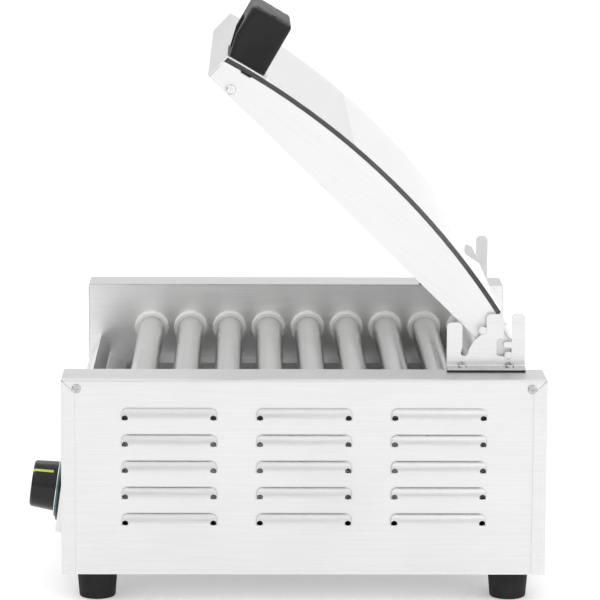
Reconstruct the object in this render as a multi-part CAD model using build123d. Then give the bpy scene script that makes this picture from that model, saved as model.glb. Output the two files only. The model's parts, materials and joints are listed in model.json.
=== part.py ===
from build123d import *
import math
import os

# A nine-roller hot dog grill with a hinged glass lid, lid raised.
# X runs along the rollers, Y from front to back, Z up from the counter. Millimetres.
# While it is drawn, Y is measured from the front plane of the end housings; the last step
# moves everything so that the origin is under the middle of the whole machine.

# ---- Driving dimensions: body ----
LENGTH = 520.0
DEPTH = 405.0
TOP_Z = 193.9
HOUSING_WIDTH = 45.0
FOOT_HEIGHT = 27.2
SHEET = 1.2
BEND = 2.3
RETURN_FLANGE = 11.5
MITRE_GAP = 0.4
CLEAR = 0.3

# ---- End louvres ----
LOUVRE_LENGTH = 80.3
LOUVRE_HEIGHT = 10.3
LOUVRE_OUT = 4.5
LOUVRE_END = 4.0
LOUVRE_SHOULDER = 7.0
LOUVRE_NOTCH = 5.2
LOUVRE_NOTCH_INSET = 3.4
LOUVRE_NOTCH_LIFT = 2.0
LOUVRE_COLUMNS = 3
LOUVRE_ROWS = 5
LOUVRE_COLUMN_PITCH = 112.3
LOUVRE_ROW_PITCH = 22.4
LOUVRE_TOP_LIP_Z = 159.4

# ---- Rollers and their drive ----
ROLLER_COUNT = 9
ROLLER_DIAMETER = 25.0
ROLLER_WALL = 1.2
ROLLER_PITCH = 38.0
ROLLER_FIRST_Y = 61.6
ROLLER_Z = 151.1
RUNNING_FIT = 0.1
RING_DIAMETER = 33.0
RING_LENGTH = 10.0
RING_DRAFT = 1.0
BUSH_DIAMETER = 29.0
BUSH_THROUGH = 3.0
HEATER_DIAMETER = 8.0
HEATER_BAR_INSET = 14.0
HEATER_BAR_HEIGHT = 20.0
HEATER_BAR_SHEET = 2.0
SPROCKET_OUT = 13.0
SPROCKET_TEETH = 13
CHAIN_PITCH = 8.0
CHAIN_ROLLER = 5.0
CHAIN_PLATE_HEIGHT = 5.6
CHAIN_PLATE = 0.8
SPROCKET_THICKNESS = 2.4
HUB_WALL = 0.8
MOTOR_DIAMETER = 56.0
MOTOR_LENGTH = 20.0
MOTOR_DROP = 72.8
MOTOR_SHAFT = 10.0

# ---- Front control panel, as (y, z) from the housings' front plane ----
PANEL_FOOT_Y = -8.0
PANEL_FOOT_Z = 53.2
PANEL_BREAK_Y = 2.0
PANEL_BREAK_Z = 125.9
RIM_FOOT_Y = 7.6
RIM_FOOT_Z = 133.6
RIM_Y = 12.5
RIM_Z = 143.1
DEFLECTOR_Y = 40.0

# ---- Controls ----
KNOB_INSET = 33.0
KNOB_Z = 84.3
KNOB_BASE_DIAMETER = 43.0
KNOB_NOSE_DIAMETER = 39.5
KNOB_LENGTH = 22.0
POINTER_WIDTH = 2.4
POINTER_DEPTH = 1.2
POINTER_START = 4.5
POINTER_TURN = 42.0
BEZEL_DIAMETER = 58.0
BEZEL_THICKNESS = 2.4
DIAL_DIAMETER = 52.0
DIAL_THICKNESS = 1.2
SHAFT_DIAMETER = 6.0
SWITCH_INSET = 105.0
LAMP_INSET = 72.0
LAMP_DIAMETER = 12.0
ROCKER_RADIUS = 13.0
ROCKER_WIDTH = 18.0
ROCKER_SPREAD = 30.0
ROCKER_SWING = 16.0
TRUNNION = 3.0

# ---- Feet, tray, rear ----
FOOT_TOP_DIAMETER = 35.0
FOOT_TIP_DIAMETER = 30.5
FOOT_INSET = 28.2
FOOT_SIDE_INSET = 36.5
TRAY_HEIGHT = 19.0
TRAY_SHEET = 1.0
LEDGE_Z = 121.2
LEDGE_WIDTH = 28.0
LEDGE_FLANGE = 14.0
LEDGE_LIP = 5.0
LEDGE_GAP = 5.0
REAR_PANEL_Y = 395.0
REAR_PANEL_TOP = 171.9
GLAND_INSET = 35.0
GLAND_Z = 63.2

# ---- Lid, drawn closed and then swung open by LID_OPEN ----
LID_OPEN = 44.3
HINGE_Y = 369.0
HINGE_Z = 200.1
LID_FRONT_Y = 25.0
LID_LOWER_Z = 200.2
LID_TAIL_Y = 376.5
LID_TAIL_TOP = 215.9
LID_PLATE = 1.5
LID_SIDE_GAP = 2.0
LID_FLANGE = 11.5
GLASS = 4.0
GLASS_FRONT_Z = 218.2
GLASS_REAR_Y = 338.8
GLASS_REAR_Z = 226.0
GLASS_RISE = 19.7
GLASS_SEAT = 0.2
STRIP_WIDTH = 37.0
REAR_STRIP_Y = 367.0
REAR_STRIP_LAP = 16.0
REAR_STRIP_FOLD = 8.0
REAR_SCREW_Y = 352.0
REAR_SCREW_INSET = 26.0
HANDLE_INSET = 62.0
HANDLE_LENGTH = 100.0
HANDLE_WIDTH = 37.5
HANDLE_TAPER = 4.0
HANDLE_TAPER_HEIGHT = 17.0
HANDLE_HEIGHT = 47.0
HANDLE_LEG = 14.0
HANDLE_GRIP = 16.0
HANDLE_SEAT_Y = 39.2

# ---- Lid brackets and pins ----
BRACKET_FRONT_Y = 323.0
BRACKET_WIDTH = 66.0
BRACKET_TOP = 241.9
BRACKET_LOW_TOP = 234.5
BRACKET_PRONG = 13.0
BRACKET_MIDDLE_Y = 356.2
BRACKET_SHEET = 2.0
BRACKET_FOOT = 9.0
BRACKET_BEND = 2.0
BRACKET_PAD = 1.5
PIN_DIAMETER = 5.2
PIN_HEAD = 7.0
PIN_HEAD_LENGTH = 2.4
PIN_CLEARANCE = 0.4
PIN_Z = 208.8
HOOK_LEFT_Y = 365.0
HOOK_HEADROOM = 3.3
HOOK_TOOTH = 5.0
HOOK_REACH = 6.7
FRONT_PIN_Y = 337.8
REAR_PIN_Y = 368.3

# ---- Pan-head screws ----
SCREW_HEAD = 7.5
SCREW_HEAD_HEIGHT = 2.4
SCREW_SHANK = 4.0
SCREW_HOLE = 4.2
SCREW_LENGTH = 8.0
END_SCREW_INSET = 13.2
END_SCREW_DROP = 8.0

# ---- Places worked out from the sizes above ----
WALL_X = LENGTH / 2 - HOUSING_WIDTH
OUTER_X = LENGTH / 2
HEATER_BAR_X = OUTER_X - HEATER_BAR_INSET
SPROCKET_X = WALL_X + SPROCKET_OUT
KNOB_X = WALL_X - KNOB_INSET
FOOT_X = OUTER_X - FOOT_SIDE_INSET
GLAND_X = WALL_X - GLAND_INSET
LID_OUTER_X = WALL_X - LID_SIDE_GAP
HANDLE_X = WALL_X - HANDLE_INSET
SWITCH_X = WALL_X - SWITCH_INSET
LAMP_X = WALL_X - LAMP_INSET
ROLLER_YS = [ROLLER_FIRST_Y + ROLLER_PITCH * i for i in range(ROLLER_COUNT)]
PANEL_TILT = math.degrees(math.atan2(PANEL_BREAK_Y - PANEL_FOOT_Y, PANEL_BREAK_Z - PANEL_FOOT_Z))
SPROCKET_PITCH_RADIUS = CHAIN_PITCH / 2 / math.sin(math.pi / SPROCKET_TEETH)
SPROCKET_TIP_RADIUS = SPROCKET_PITCH_RADIUS + CHAIN_ROLLER / 4
MOTOR_Y = (ROLLER_YS[0] + ROLLER_YS[-1]) / 2
MOTOR_Z = ROLLER_Z - MOTOR_DROP


def block(x, y, z):
    """Box from three (low, high) pairs."""
    pairs = (x, y, z)
    middle = [(low + high) / 2 for low, high in pairs]
    return Pos(*middle) * Box(*[high - low for low, high in pairs])


def slab(sketch, x_low, x_high):
    """Prism along X over a sketch whose own axes are Y and Z."""
    return extrude(Pos(x_low, 0, 0) * (Plane.YZ * sketch), amount=x_high - x_low)


def rod(x_low, x_high, y, z, diameter):
    """Round bar along X."""
    length = x_high - x_low
    return Pos((x_low + x_high) / 2, y, z) * Rot(0, 90, 0) * Cylinder(diameter / 2, length)


def area(y, z):
    """Rectangle in the Y and Z sketch from two (low, high) pairs."""
    return Pos((y[0] + y[1]) / 2, (z[0] + z[1]) / 2) * Rectangle(y[1] - y[0], z[1] - z[0])


def folded(points, thickness, x_low, x_high):
    """Folded sheet: a (y, z) polyline is one face, and the metal lies on its left."""
    far = []
    for index, point in enumerate(points):
        here = Vector(*point)
        before = here - Vector(*points[max(index - 1, 0)])
        after = Vector(*points[min(index + 1, len(points) - 1)]) - here
        arms = [arm.normalized() for arm in (before, after) if arm.length > 0]
        lefts = [Vector(-arm.Y, arm.X) for arm in arms]
        mitre = (lefts[0] + lefts[-1]).normalized()
        far.append(here + mitre * (thickness / mitre.dot(lefts[0])))
    corners = [Vector(*point) for point in points] + far[::-1]
    return slab(make_face(Polyline(*corners, close=True)), x_low, x_high)


def on_both_sides(shape):
    """The right-hand shape and its mirror image on the left."""
    return shape, mirror(shape, about=Plane.YZ)


def on_panel(x, z, lift):
    """Place on the slanted panel: local X along the grill, local Z out of its face."""
    tilt = math.radians(PANEL_TILT)
    y = PANEL_FOOT_Y + (z - PANEL_FOOT_Z) * math.tan(tilt)
    normal = Vector(0, -math.cos(tilt), math.sin(tilt))
    origin = Vector(x, y, z) + normal * lift
    return Plane(origin=origin, x_dir=(1, 0, 0), z_dir=normal).location


def pan_screw():
    """Pan-head screw, head seated on the XY plane, shank pointing down."""
    head = Pos(0, 0, SCREW_HEAD_HEIGHT / 2) * Cylinder(SCREW_HEAD / 2, SCREW_HEAD_HEIGHT)
    head = fillet(head.edges().group_by(Axis.Z)[-1], SCREW_HEAD_HEIGHT * 0.6)
    shank = Pos(0, 0, -SCREW_LENGTH / 2) * Cylinder(SCREW_SHANK / 2, SCREW_LENGTH)
    screw = head + shank
    for turn in (0, 90):
        screw -= Pos(0, 0, SCREW_HEAD_HEIGHT) * Rot(0, 0, turn) * Box(4.2, 0.9, 2.4)
    return screw


def screw_at(x, y, z, direction):
    """A pan-head screw whose head faces the given direction."""
    return Plane(origin=(x, y, z), z_dir=direction).location * pan_screw()


# ---- Housings ----

def end_screw_spots():
    """(y, z) of the screws through each end's top flange."""
    z = TOP_Z - END_SCREW_DROP
    return [(END_SCREW_INSET, z), (DEPTH - END_SCREW_INSET, z)]


def bracket_screw_spots():
    """(x, y) of the screws through each lid bracket's foot."""
    x = WALL_X + BRACKET_SHEET + BRACKET_FOOT / 2
    inset = BRACKET_PRONG
    return [(x, BRACKET_FRONT_Y + inset), (x, BRACKET_FRONT_Y + BRACKET_WIDTH - inset)]


def end_wrap():
    """Bent cover of the right housing: top, front and back, with return flanges."""
    skin = block((WALL_X, OUTER_X), (0, DEPTH), (FOOT_HEIGHT, TOP_Z))
    bends = skin.edges().filter_by(Axis.X).group_by(Axis.Z)[-1]
    bends += skin.faces().sort_by(Axis.X)[-1].edges().filter_by(lambda e: e.center().Z > FOOT_HEIGHT + 1)
    skin = fillet(bends, BEND)
    hollow = block((WALL_X - 1, OUTER_X - SHEET), (SHEET, DEPTH - SHEET), (FOOT_HEIGHT - 1, TOP_Z - SHEET))
    corners = hollow.edges().filter_by(Axis.X).group_by(Axis.Z)[-1]
    skin -= fillet(corners, BEND - SHEET)
    window_y = (RETURN_FLANGE, DEPTH - RETURN_FLANGE)
    skin -= block((OUTER_X - 2 * SHEET, OUTER_X + 1), window_y, (FOOT_HEIGHT - 1, TOP_Z - RETURN_FLANGE))
    slit_length = math.hypot(RETURN_FLANGE, RETURN_FLANGE) - BEND
    slit = Box(3 * SHEET, MITRE_GAP, slit_length + 2 * MITRE_GAP)
    for y, turn in ((RETURN_FLANGE, 45), (DEPTH - RETURN_FLANGE, -45)):
        reach = slit_length / 2
        corner = Pos(OUTER_X, y, TOP_Z - RETURN_FLANGE) * Rot(turn, 0, 0) * Pos(0, 0, reach)
        skin -= corner * slit
    for y, z in end_screw_spots():
        skin -= rod(OUTER_X - 2 * SHEET, OUTER_X + 1, y, z, SCREW_HOLE)
    for x, y in bracket_screw_spots():
        skin -= Pos(x, y, TOP_Z) * Cylinder(SCREW_HOLE / 2, 4 * SHEET)
    return skin


def louvre(y, z):
    """One pressed louvre hood, open at the bottom, and the slot behind it."""
    face_x = OUTER_X - SHEET
    span = (y, y + LOUVRE_LENGTH)
    hood = hood_solid(face_x, span, z, LOUVRE_OUT, LOUVRE_HEIGHT)
    inset = (span[0] + SHEET, span[1] - SHEET)
    space = hood_solid(face_x - 2 * SHEET, inset, z, LOUVRE_OUT + SHEET, LOUVRE_HEIGHT - SHEET)
    return hood, space


def hood_solid(x, span, z, out, height):
    """Quarter-ellipse prism along Y with domed ends, its flat side at x and its flat bottom at z."""
    profile = Ellipse(out, height) & Pos(out / 2, height / 2) * Rectangle(out, height)
    upright = Plane(origin=(x, span[1], z), x_dir=(1, 0, 0), z_dir=(0, -1, 0))
    length = span[1] - span[0]
    plan = Box(2 * out, length, 2 * height)
    plan = fillet(plan.edges().filter_by(Axis.Z), LOUVRE_END)
    shoulders = Box(2 * out, length, 2 * height)
    shoulders = fillet(shoulders.edges().filter_by(Axis.X), LOUVRE_SHOULDER)
    middle = Pos(x, (span[0] + span[1]) / 2, z)
    return extrude(upright * profile, amount=length) & middle * plan & middle * shoulders


def louvre_panel():
    """Pressed end panel behind the right housing's return flanges."""
    x = (OUTER_X - 2 * SHEET, OUTER_X - SHEET)
    panel = block(x, (SHEET, DEPTH - SHEET), (FOOT_HEIGHT + SHEET, TOP_Z - BEND))
    run = LOUVRE_COLUMN_PITCH * (LOUVRE_COLUMNS - 1) + LOUVRE_LENGTH
    first_y = (DEPTH - run) / 2
    for column in range(LOUVRE_COLUMNS):
        for row in range(LOUVRE_ROWS):
            y = first_y + column * LOUVRE_COLUMN_PITCH
            row_z = LOUVRE_TOP_LIP_Z - row * LOUVRE_ROW_PITCH
            hood, space = louvre(y, row_z)
            panel = panel + hood - space
            for end in (y + LOUVRE_NOTCH_INSET, y + LOUVRE_LENGTH - LOUVRE_NOTCH_INSET):
                panel -= rod(x[0] - SHEET, OUTER_X + LOUVRE_OUT, end, row_z + LOUVRE_NOTCH_LIFT, LOUVRE_NOTCH)
    for y, z in end_screw_spots():
        panel -= rod(x[0] - 1, x[1] + 1, y, z, SCREW_HOLE)
    return panel


def inner_wall():
    """Inner wall of the right housing, bored for the roller bushes."""
    z = (FOOT_HEIGHT + SHEET, TOP_Z - SHEET)
    wall = block((WALL_X, WALL_X + SHEET), (SHEET, DEPTH - SHEET), z)
    wall = fillet(wall.edges().filter_by(Axis.X).group_by(Axis.Z)[-1], BEND - SHEET)
    for y in ROLLER_YS:
        wall -= rod(WALL_X - 1, WALL_X + 2 * SHEET, y, ROLLER_Z, BUSH_DIAMETER)
    return wall


def roller_ledge():
    """Right-hand shelf angle under the roller ends, between the deflector and the rear panel."""
    y = (DEFLECTOR_Y + LEDGE_GAP, REAR_PANEL_Y - 2 * LEDGE_GAP)
    shelf = block((WALL_X - LEDGE_WIDTH, WALL_X), y, (LEDGE_Z - SHEET, LEDGE_Z))
    turned = block((WALL_X - SHEET, WALL_X), y, (LEDGE_Z - LEDGE_FLANGE, LEDGE_Z))
    lip = block((WALL_X - LEDGE_WIDTH, WALL_X - LEDGE_WIDTH + SHEET), y, (LEDGE_Z - LEDGE_LIP, LEDGE_Z))
    return shelf + turned + lip


def base_plate():
    """Floor sheet that carries both housings."""
    y = (SHEET, DEPTH - SHEET)
    return block((-OUTER_X + SHEET, OUTER_X - SHEET), y, (FOOT_HEIGHT, FOOT_HEIGHT + SHEET))


def front_panel():
    """Control panel between the housings: rim, slanted face, bottom lip and grease deflector."""
    points = [
        (DEFLECTOR_Y, PANEL_FOOT_Z),
        (DEFLECTOR_Y - 3, RIM_Z - 28),
        (RIM_Y + 8, RIM_Z - 16),
        (RIM_Y, RIM_Z),
        (RIM_FOOT_Y, RIM_FOOT_Z),
        (PANEL_BREAK_Y, PANEL_BREAK_Z),
        (PANEL_FOOT_Y, PANEL_FOOT_Z),
        (0, PANEL_FOOT_Z - 2),
    ]
    panel = folded(points, SHEET, -WALL_X, WALL_X)
    cheek = make_face(Polyline(*[Vector(*p) for p in points], close=True))
    for x in (-WALL_X, WALL_X - SHEET):
        panel += slab(cheek, x, x + SHEET)
    panel -= on_panel(KNOB_X, KNOB_Z, 0) * Cylinder(SHAFT_DIAMETER / 2 + 1, 6 * SHEET)
    panel -= on_panel(LAMP_X, KNOB_Z, 0) * Cylinder(LAMP_DIAMETER / 2 - 1, 6 * SHEET)
    panel -= on_panel(SWITCH_X, KNOB_Z, 0) * Box(switch_body()[0], switch_body()[1], 6 * SHEET)
    return panel


def rear_panel():
    """Back sheet between the housings, with a hem along its top."""
    y = (REAR_PANEL_Y - SHEET, REAR_PANEL_Y)
    panel = block((-WALL_X, WALL_X), y, (FOOT_HEIGHT + SHEET, REAR_PANEL_TOP))
    panel += block((-WALL_X, WALL_X), (REAR_PANEL_Y - 9, REAR_PANEL_Y), (REAR_PANEL_TOP - SHEET, REAR_PANEL_TOP))
    return panel - Pos(GLAND_X, REAR_PANEL_Y, GLAND_Z) * Rot(90, 0, 0) * Cylinder(8, 6)


def cable_gland():
    """Strain-relief bush for the supply lead in the rear panel."""
    gland = Cylinder(7.8, 22) + Pos(0, 0, 6.5) * Cylinder(12, 5)
    gland += Pos(0, 0, -8) * Cylinder(10, 5)
    gland -= Cylinder(4.2, 40)
    return Pos(GLAND_X, REAR_PANEL_Y - 4, GLAND_Z) * Rot(90, 0, 0) * mirror(gland, about=Plane.XY)


def feet():
    """Four tapered rubber feet, each with a screw recess underneath."""
    foot = Pos(0, 0, FOOT_HEIGHT / 2) * Cone(FOOT_TIP_DIAMETER / 2, FOOT_TOP_DIAMETER / 2, FOOT_HEIGHT)
    foot = fillet(foot.edges().group_by(Axis.Z)[0], 1.5)
    foot -= Pos(0, 0, 7) * Cylinder(5, 14)
    return [Pos(x, y, 0) * foot for x in (-FOOT_X, FOOT_X) for y in (FOOT_INSET, DEPTH - FOOT_INSET)]


def drip_tray():
    """Sliding grease drawer under the rollers, with a pull lip."""
    floor_z = FOOT_HEIGHT + SHEET + CLEAR
    x = WALL_X - 3
    back_y = REAR_PANEL_Y - 8
    tray = block((-x, x), (0, back_y), (floor_z, floor_z + TRAY_HEIGHT))
    inside = (TRAY_SHEET - x, x - TRAY_SHEET)
    tray -= block(inside, (TRAY_SHEET, back_y - TRAY_SHEET), (floor_z + TRAY_SHEET, TOP_Z))
    front_top = PANEL_FOOT_Z - 2 - SHEET - 1
    tray += block((-WALL_X + 1, WALL_X - 1), (-SHEET, 0), (floor_z, front_top))
    tray += block((-70, 70), (-12, -SHEET), (floor_z + 6, floor_z + 6 + SHEET))
    tray += block((-70, 70), (-12, -12 + SHEET), (floor_z + 1, floor_z + 6 + SHEET))
    return tray


# ---- Rollers, heating and drive ----

def roller(y):
    """One roller tube, from the right-hand bush to past its sprocket on the left."""
    left, right = -SPROCKET_X - 8, WALL_X + 11
    tube = rod(left, right, y, ROLLER_Z, ROLLER_DIAMETER)
    return tube - rod(left - 1, right + 1, y, ROLLER_Z, ROLLER_DIAMETER - 2 * ROLLER_WALL)


def bushes():
    """Right-hand row of flanged bushes; their flanges are the white rings."""
    row = []
    for y in ROLLER_YS:
        cone = Cone(RING_DIAMETER / 2, RING_DIAMETER / 2 - RING_DRAFT, RING_LENGTH)
        ring = Pos(WALL_X - RING_LENGTH / 2, y, ROLLER_Z) * Rot(0, -90, 0) * cone
        bush = ring + rod(WALL_X, WALL_X + SHEET + BUSH_THROUGH, y, ROLLER_Z, BUSH_DIAMETER)
        bore = ROLLER_DIAMETER + 2 * RUNNING_FIT
        row.append(bush - rod(WALL_X - 2 * RING_LENGTH, WALL_X + 20, y, ROLLER_Z, bore))
    return row


def sprocket(y, z, bore):
    """Chain sprocket; a roller's has a hub on its right, up against the bush."""
    disc = Circle(SPROCKET_TIP_RADIUS)
    for tooth in range(SPROCKET_TEETH):
        turn = 2 * math.pi * tooth / SPROCKET_TEETH
        spot = Pos(SPROCKET_PITCH_RADIUS * math.cos(turn), SPROCKET_PITCH_RADIUS * math.sin(turn))
        disc -= spot * Circle(CHAIN_ROLLER / 2 + 0.1)
    half = SPROCKET_THICKNESS / 2
    wheel = slab(Pos(y, z) * disc, -SPROCKET_X - half, -SPROCKET_X + half)
    wheel += rod(-SPROCKET_X, -WALL_X - SHEET - BUSH_THROUGH - CLEAR, y, z, bore + 2 * HUB_WALL)
    return wheel - rod(-SPROCKET_X - 20, -SPROCKET_X + 20, y, z, bore)


def motor_sprocket():
    """Sprocket on the motor's shaft."""
    return sprocket(MOTOR_Y, MOTOR_Z, MOTOR_SHAFT)


def chain_loop(radius):
    """Taut outline around the end rollers' sprockets and the motor's."""
    ends = [(ROLLER_YS[0], ROLLER_Z), (ROLLER_YS[-1], ROLLER_Z), (MOTOR_Y, MOTOR_Z)]
    rims = [Pos(*end) * Circle(radius) for end in ends]
    return make_hull(rims[0].edges() + rims[1].edges() + rims[2].edges())


def drive_chain():
    """Chain as two plate bands joined by pins between the sprockets."""
    half = CHAIN_PLATE_HEIGHT / 2
    band = chain_loop(SPROCKET_PITCH_RADIUS + half) - chain_loop(SPROCKET_PITCH_RADIUS - half)
    gap = SPROCKET_THICKNESS / 2 + CLEAR
    chain = slab(band, -SPROCKET_X - gap - CHAIN_PLATE, -SPROCKET_X - gap)
    chain += slab(band, -SPROCKET_X + gap, -SPROCKET_X + gap + CHAIN_PLATE)
    for y in ROLLER_YS[:-1]:
        z = ROLLER_Z + SPROCKET_PITCH_RADIUS
        chain += rod(-SPROCKET_X - gap, -SPROCKET_X + gap, y + ROLLER_PITCH / 2, z, CHAIN_ROLLER)
    return chain


def motor_plate_x():
    """Face of the motor bracket that the motor bolts to."""
    return -SPROCKET_X - 6


def gear_motor():
    """Flat gear motor: gearbox, motor can and output boss."""
    x = motor_plate_x() - 2
    body = rod(x - MOTOR_LENGTH * 0.55, x, MOTOR_Y, MOTOR_Z, MOTOR_DIAMETER)
    body += rod(x - MOTOR_LENGTH, x, MOTOR_Y, MOTOR_Z, MOTOR_DIAMETER * 0.8)
    return body + block((x - 9, x), (MOTOR_Y - 37, MOTOR_Y + 37), (MOTOR_Z - 8, MOTOR_Z + 8))


def motor_shaft():
    """Output shaft, turning with its sprocket."""
    left = motor_plate_x() - 2 + CLEAR
    return rod(left, -SPROCKET_X + 6, MOTOR_Y, MOTOR_Z, MOTOR_SHAFT - 2 * 0.05)


def motor_bracket():
    """Plate on two folded legs from the left inner wall."""
    x = motor_plate_x()
    reach = 40.0
    plate = block((x - 2, x), (MOTOR_Y - reach, MOTOR_Y + reach), (MOTOR_Z - 32, MOTOR_Z + 32))
    for z in (MOTOR_Z - 32, MOTOR_Z + 30):
        plate += block((x - 2, -WALL_X - SHEET), (MOTOR_Y - 12, MOTOR_Y + 12), (z, z + 2))
    return plate - rod(x - 5, x + 5, MOTOR_Y, MOTOR_Z, MOTOR_SHAFT + 2)


def heater_rods():
    """Heating rods down the middle of the rollers."""
    end = HEATER_BAR_X + 4
    return [rod(-end, end, y, ROLLER_Z, HEATER_DIAMETER) for y in ROLLER_YS]


def heater_bar():
    """Right-hand bar that holds the ends of the heating rods off the wall."""
    front, back = ROLLER_YS[0] - 25, ROLLER_YS[-1] + 25
    z = (ROLLER_Z - HEATER_BAR_HEIGHT / 2, ROLLER_Z + HEATER_BAR_HEIGHT / 2)
    bar = block((HEATER_BAR_X - HEATER_BAR_SHEET, HEATER_BAR_X), (front, back), z)
    for y in (front, back - HEATER_BAR_SHEET):
        bar += block((WALL_X + SHEET, HEATER_BAR_X), (y, y + HEATER_BAR_SHEET), z)
    for y in ROLLER_YS:
        bar -= rod(HEATER_BAR_X - 5, HEATER_BAR_X + 5, y, ROLLER_Z, HEATER_DIAMETER)
    return bar


# ---- Controls ----

def knob_blank(inset):
    """Tapered knob body standing on the XY plane, shrunk by an inset."""
    length = KNOB_LENGTH - inset
    body = Pos(0, 0, length / 2) * Cone(KNOB_BASE_DIAMETER / 2 - inset, KNOB_NOSE_DIAMETER / 2 - inset, length)
    return fillet(body.edges().group_by(Axis.Z)[-1], 3.0)


def knob_parts():
    """Knob with its inlaid pointer line, both on the panel."""
    blank = knob_blank(0)
    reach = KNOB_BASE_DIAMETER
    stripe_z = POINTER_START + reach / 2
    stripe = Rot(0, 0, -POINTER_TURN) * Pos(0, reach / 2 + 8, stripe_z) * Box(POINTER_WIDTH, reach, reach)
    pointer = (blank - knob_blank(POINTER_DEPTH)) & stripe
    socket = Pos(0, 0, 4) * Cylinder(SHAFT_DIAMETER / 2, 20)
    knob = blank - pointer - socket
    place = on_panel(KNOB_X, KNOB_Z, BEZEL_THICKNESS + DIAL_THICKNESS + CLEAR)
    return place * knob, place * pointer


def dial_bezel():
    """Black ring around the dial."""
    ring = Cylinder(BEZEL_DIAMETER / 2, BEZEL_THICKNESS) - Cylinder(SHAFT_DIAMETER / 2 + 1, 9)
    ring = fillet(ring.edges().group_by(Axis.Z)[-1].sort_by(SortBy.LENGTH)[-1], 1.0)
    return on_panel(KNOB_X, KNOB_Z, BEZEL_THICKNESS / 2) * ring


def dial_ring():
    """Coloured dial disc on the bezel."""
    ring = Cylinder(DIAL_DIAMETER / 2, DIAL_THICKNESS) - Cylinder(SHAFT_DIAMETER / 2 + 1, 9)
    return on_panel(KNOB_X, KNOB_Z, BEZEL_THICKNESS + DIAL_THICKNESS / 2) * ring


def thermostat():
    """Thermostat body behind the panel, bored for its shaft."""
    depth = 22.0
    body = Box(36, 36, depth) + Pos(0, 0, -depth / 2 - 3) * Box(20, 28, 6)
    body -= Pos(0, 0, depth / 2) * Cylinder(SHAFT_DIAMETER / 2 + 0.1, 2 * (depth - 6))
    return on_panel(KNOB_X, KNOB_Z, -SHEET - depth / 2) * body


def thermostat_shaft():
    """Shaft from the thermostat into the knob."""
    length = SHEET + BEZEL_THICKNESS + DIAL_THICKNESS + 10 + 14
    return on_panel(KNOB_X, KNOB_Z, length / 2 - SHEET - 10) * Cylinder(SHAFT_DIAMETER / 2, length - CLEAR)


def switch_body():
    """Width and height of the switch body in its cut-out."""
    return ROCKER_WIDTH + 6, 2 * rocker_reach() + 5


def rocker_reach():
    """How far the rocker's edge gets from the middle of its window."""
    turn = math.radians(ROCKER_SPREAD + ROCKER_SWING / 2)
    return ROCKER_RADIUS * math.sin(turn) + 0.6


def switch_housing():
    """Rocker switch housing with its bezel flange."""
    width, height = switch_body()
    body = Pos(0, 0, -10) * Box(width, height, 20) + Pos(0, 0, 1) * Box(width + 6, height + 6, 2)
    body -= Pos(0, 0, 0) * Box(ROCKER_WIDTH + 0.8, 2 * rocker_reach(), 34)
    body += Pos(0, 0, -19) * Box(width, height, 2)
    body -= Pos(0, 0, -8) * Rot(0, 90, 0) * Cylinder(TRUNNION / 2 + 0.1, width * 2)
    return on_panel(SWITCH_X, KNOB_Z, 0) * body


def switch_rocker():
    """Rocker on its trunnions, tipped to its off side."""
    upright = Plane(origin=(-ROCKER_WIDTH / 2, 0, 0), x_dir=(0, 1, 0), z_dir=(1, 0, 0))
    spread = math.radians(ROCKER_SPREAD)
    reach = 2 * ROCKER_RADIUS
    side = reach * math.sin(spread)
    wedge = make_face(Polyline((0, 0), (side, reach * math.cos(spread)), (-side, reach * math.cos(spread)), close=True))
    section = (Circle(ROCKER_RADIUS) & wedge) + Circle(4)
    rocker = extrude(upright * section, amount=ROCKER_WIDTH)
    rocker += Rot(0, 90, 0) * Cylinder(TRUNNION / 2, ROCKER_WIDTH + 5)
    return on_panel(SWITCH_X, KNOB_Z, -8) * Rot(-ROCKER_SWING / 2, 0, 0) * rocker


def indicator_lamp():
    """Panel lamp with a domed lens."""
    lens = Pos(0, 0, 2) * Cylinder(LAMP_DIAMETER / 2, 4)
    lens = fillet(lens.edges().group_by(Axis.Z)[-1], 2.5)
    return on_panel(LAMP_X, KNOB_Z, 0) * (lens + Pos(0, 0, -9) * Cylinder(LAMP_DIAMETER / 2 - 1.1, 18))


# ---- Lid, drawn closed ----

def glass_circle():
    """Centre and radius of the glass's lower face in the Y and Z sketch."""
    front = Vector(LID_FRONT_Y, GLASS_FRONT_Z)
    rear = Vector(GLASS_REAR_Y, GLASS_REAR_Z)
    chord = rear - front
    radius = (chord.length ** 2 / 4 + GLASS_RISE ** 2) / (2 * GLASS_RISE)
    along = chord.normalized()
    centre = (front + rear) * 0.5 - Vector(-along.Y, along.X) * (radius - GLASS_RISE)
    return centre, radius


def curve_height(y, lift):
    """Height of the glass's lower face, raised by a lift, at a given y."""
    centre, radius = glass_circle()
    return centre.Y + math.sqrt((radius + lift) ** 2 - (y - centre.X) ** 2)


def curved_band(low, high, y):
    """Strip between two lifts over the glass's lower face, limited in y."""
    centre, radius = glass_circle()
    disc = Circle(radius + high) - Circle(radius + low)
    return Pos(centre.X, centre.Y) * disc & area(y, (LID_LOWER_Z, TOP_Z + 80))


def raised(shape):
    """A closed-lid shape swung open about the hinge line."""
    swing = Pos(0, HINGE_Y, HINGE_Z) * Rot(-LID_OPEN, 0, 0) * Pos(0, -HINGE_Y, -HINGE_Z)
    return swing * shape


def side_screw_spot():
    """(y, z) of the screw through the lid's side plate into the front strip's tab."""
    return LID_FRONT_Y + 20, LID_LOWER_Z + 5.5


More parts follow.
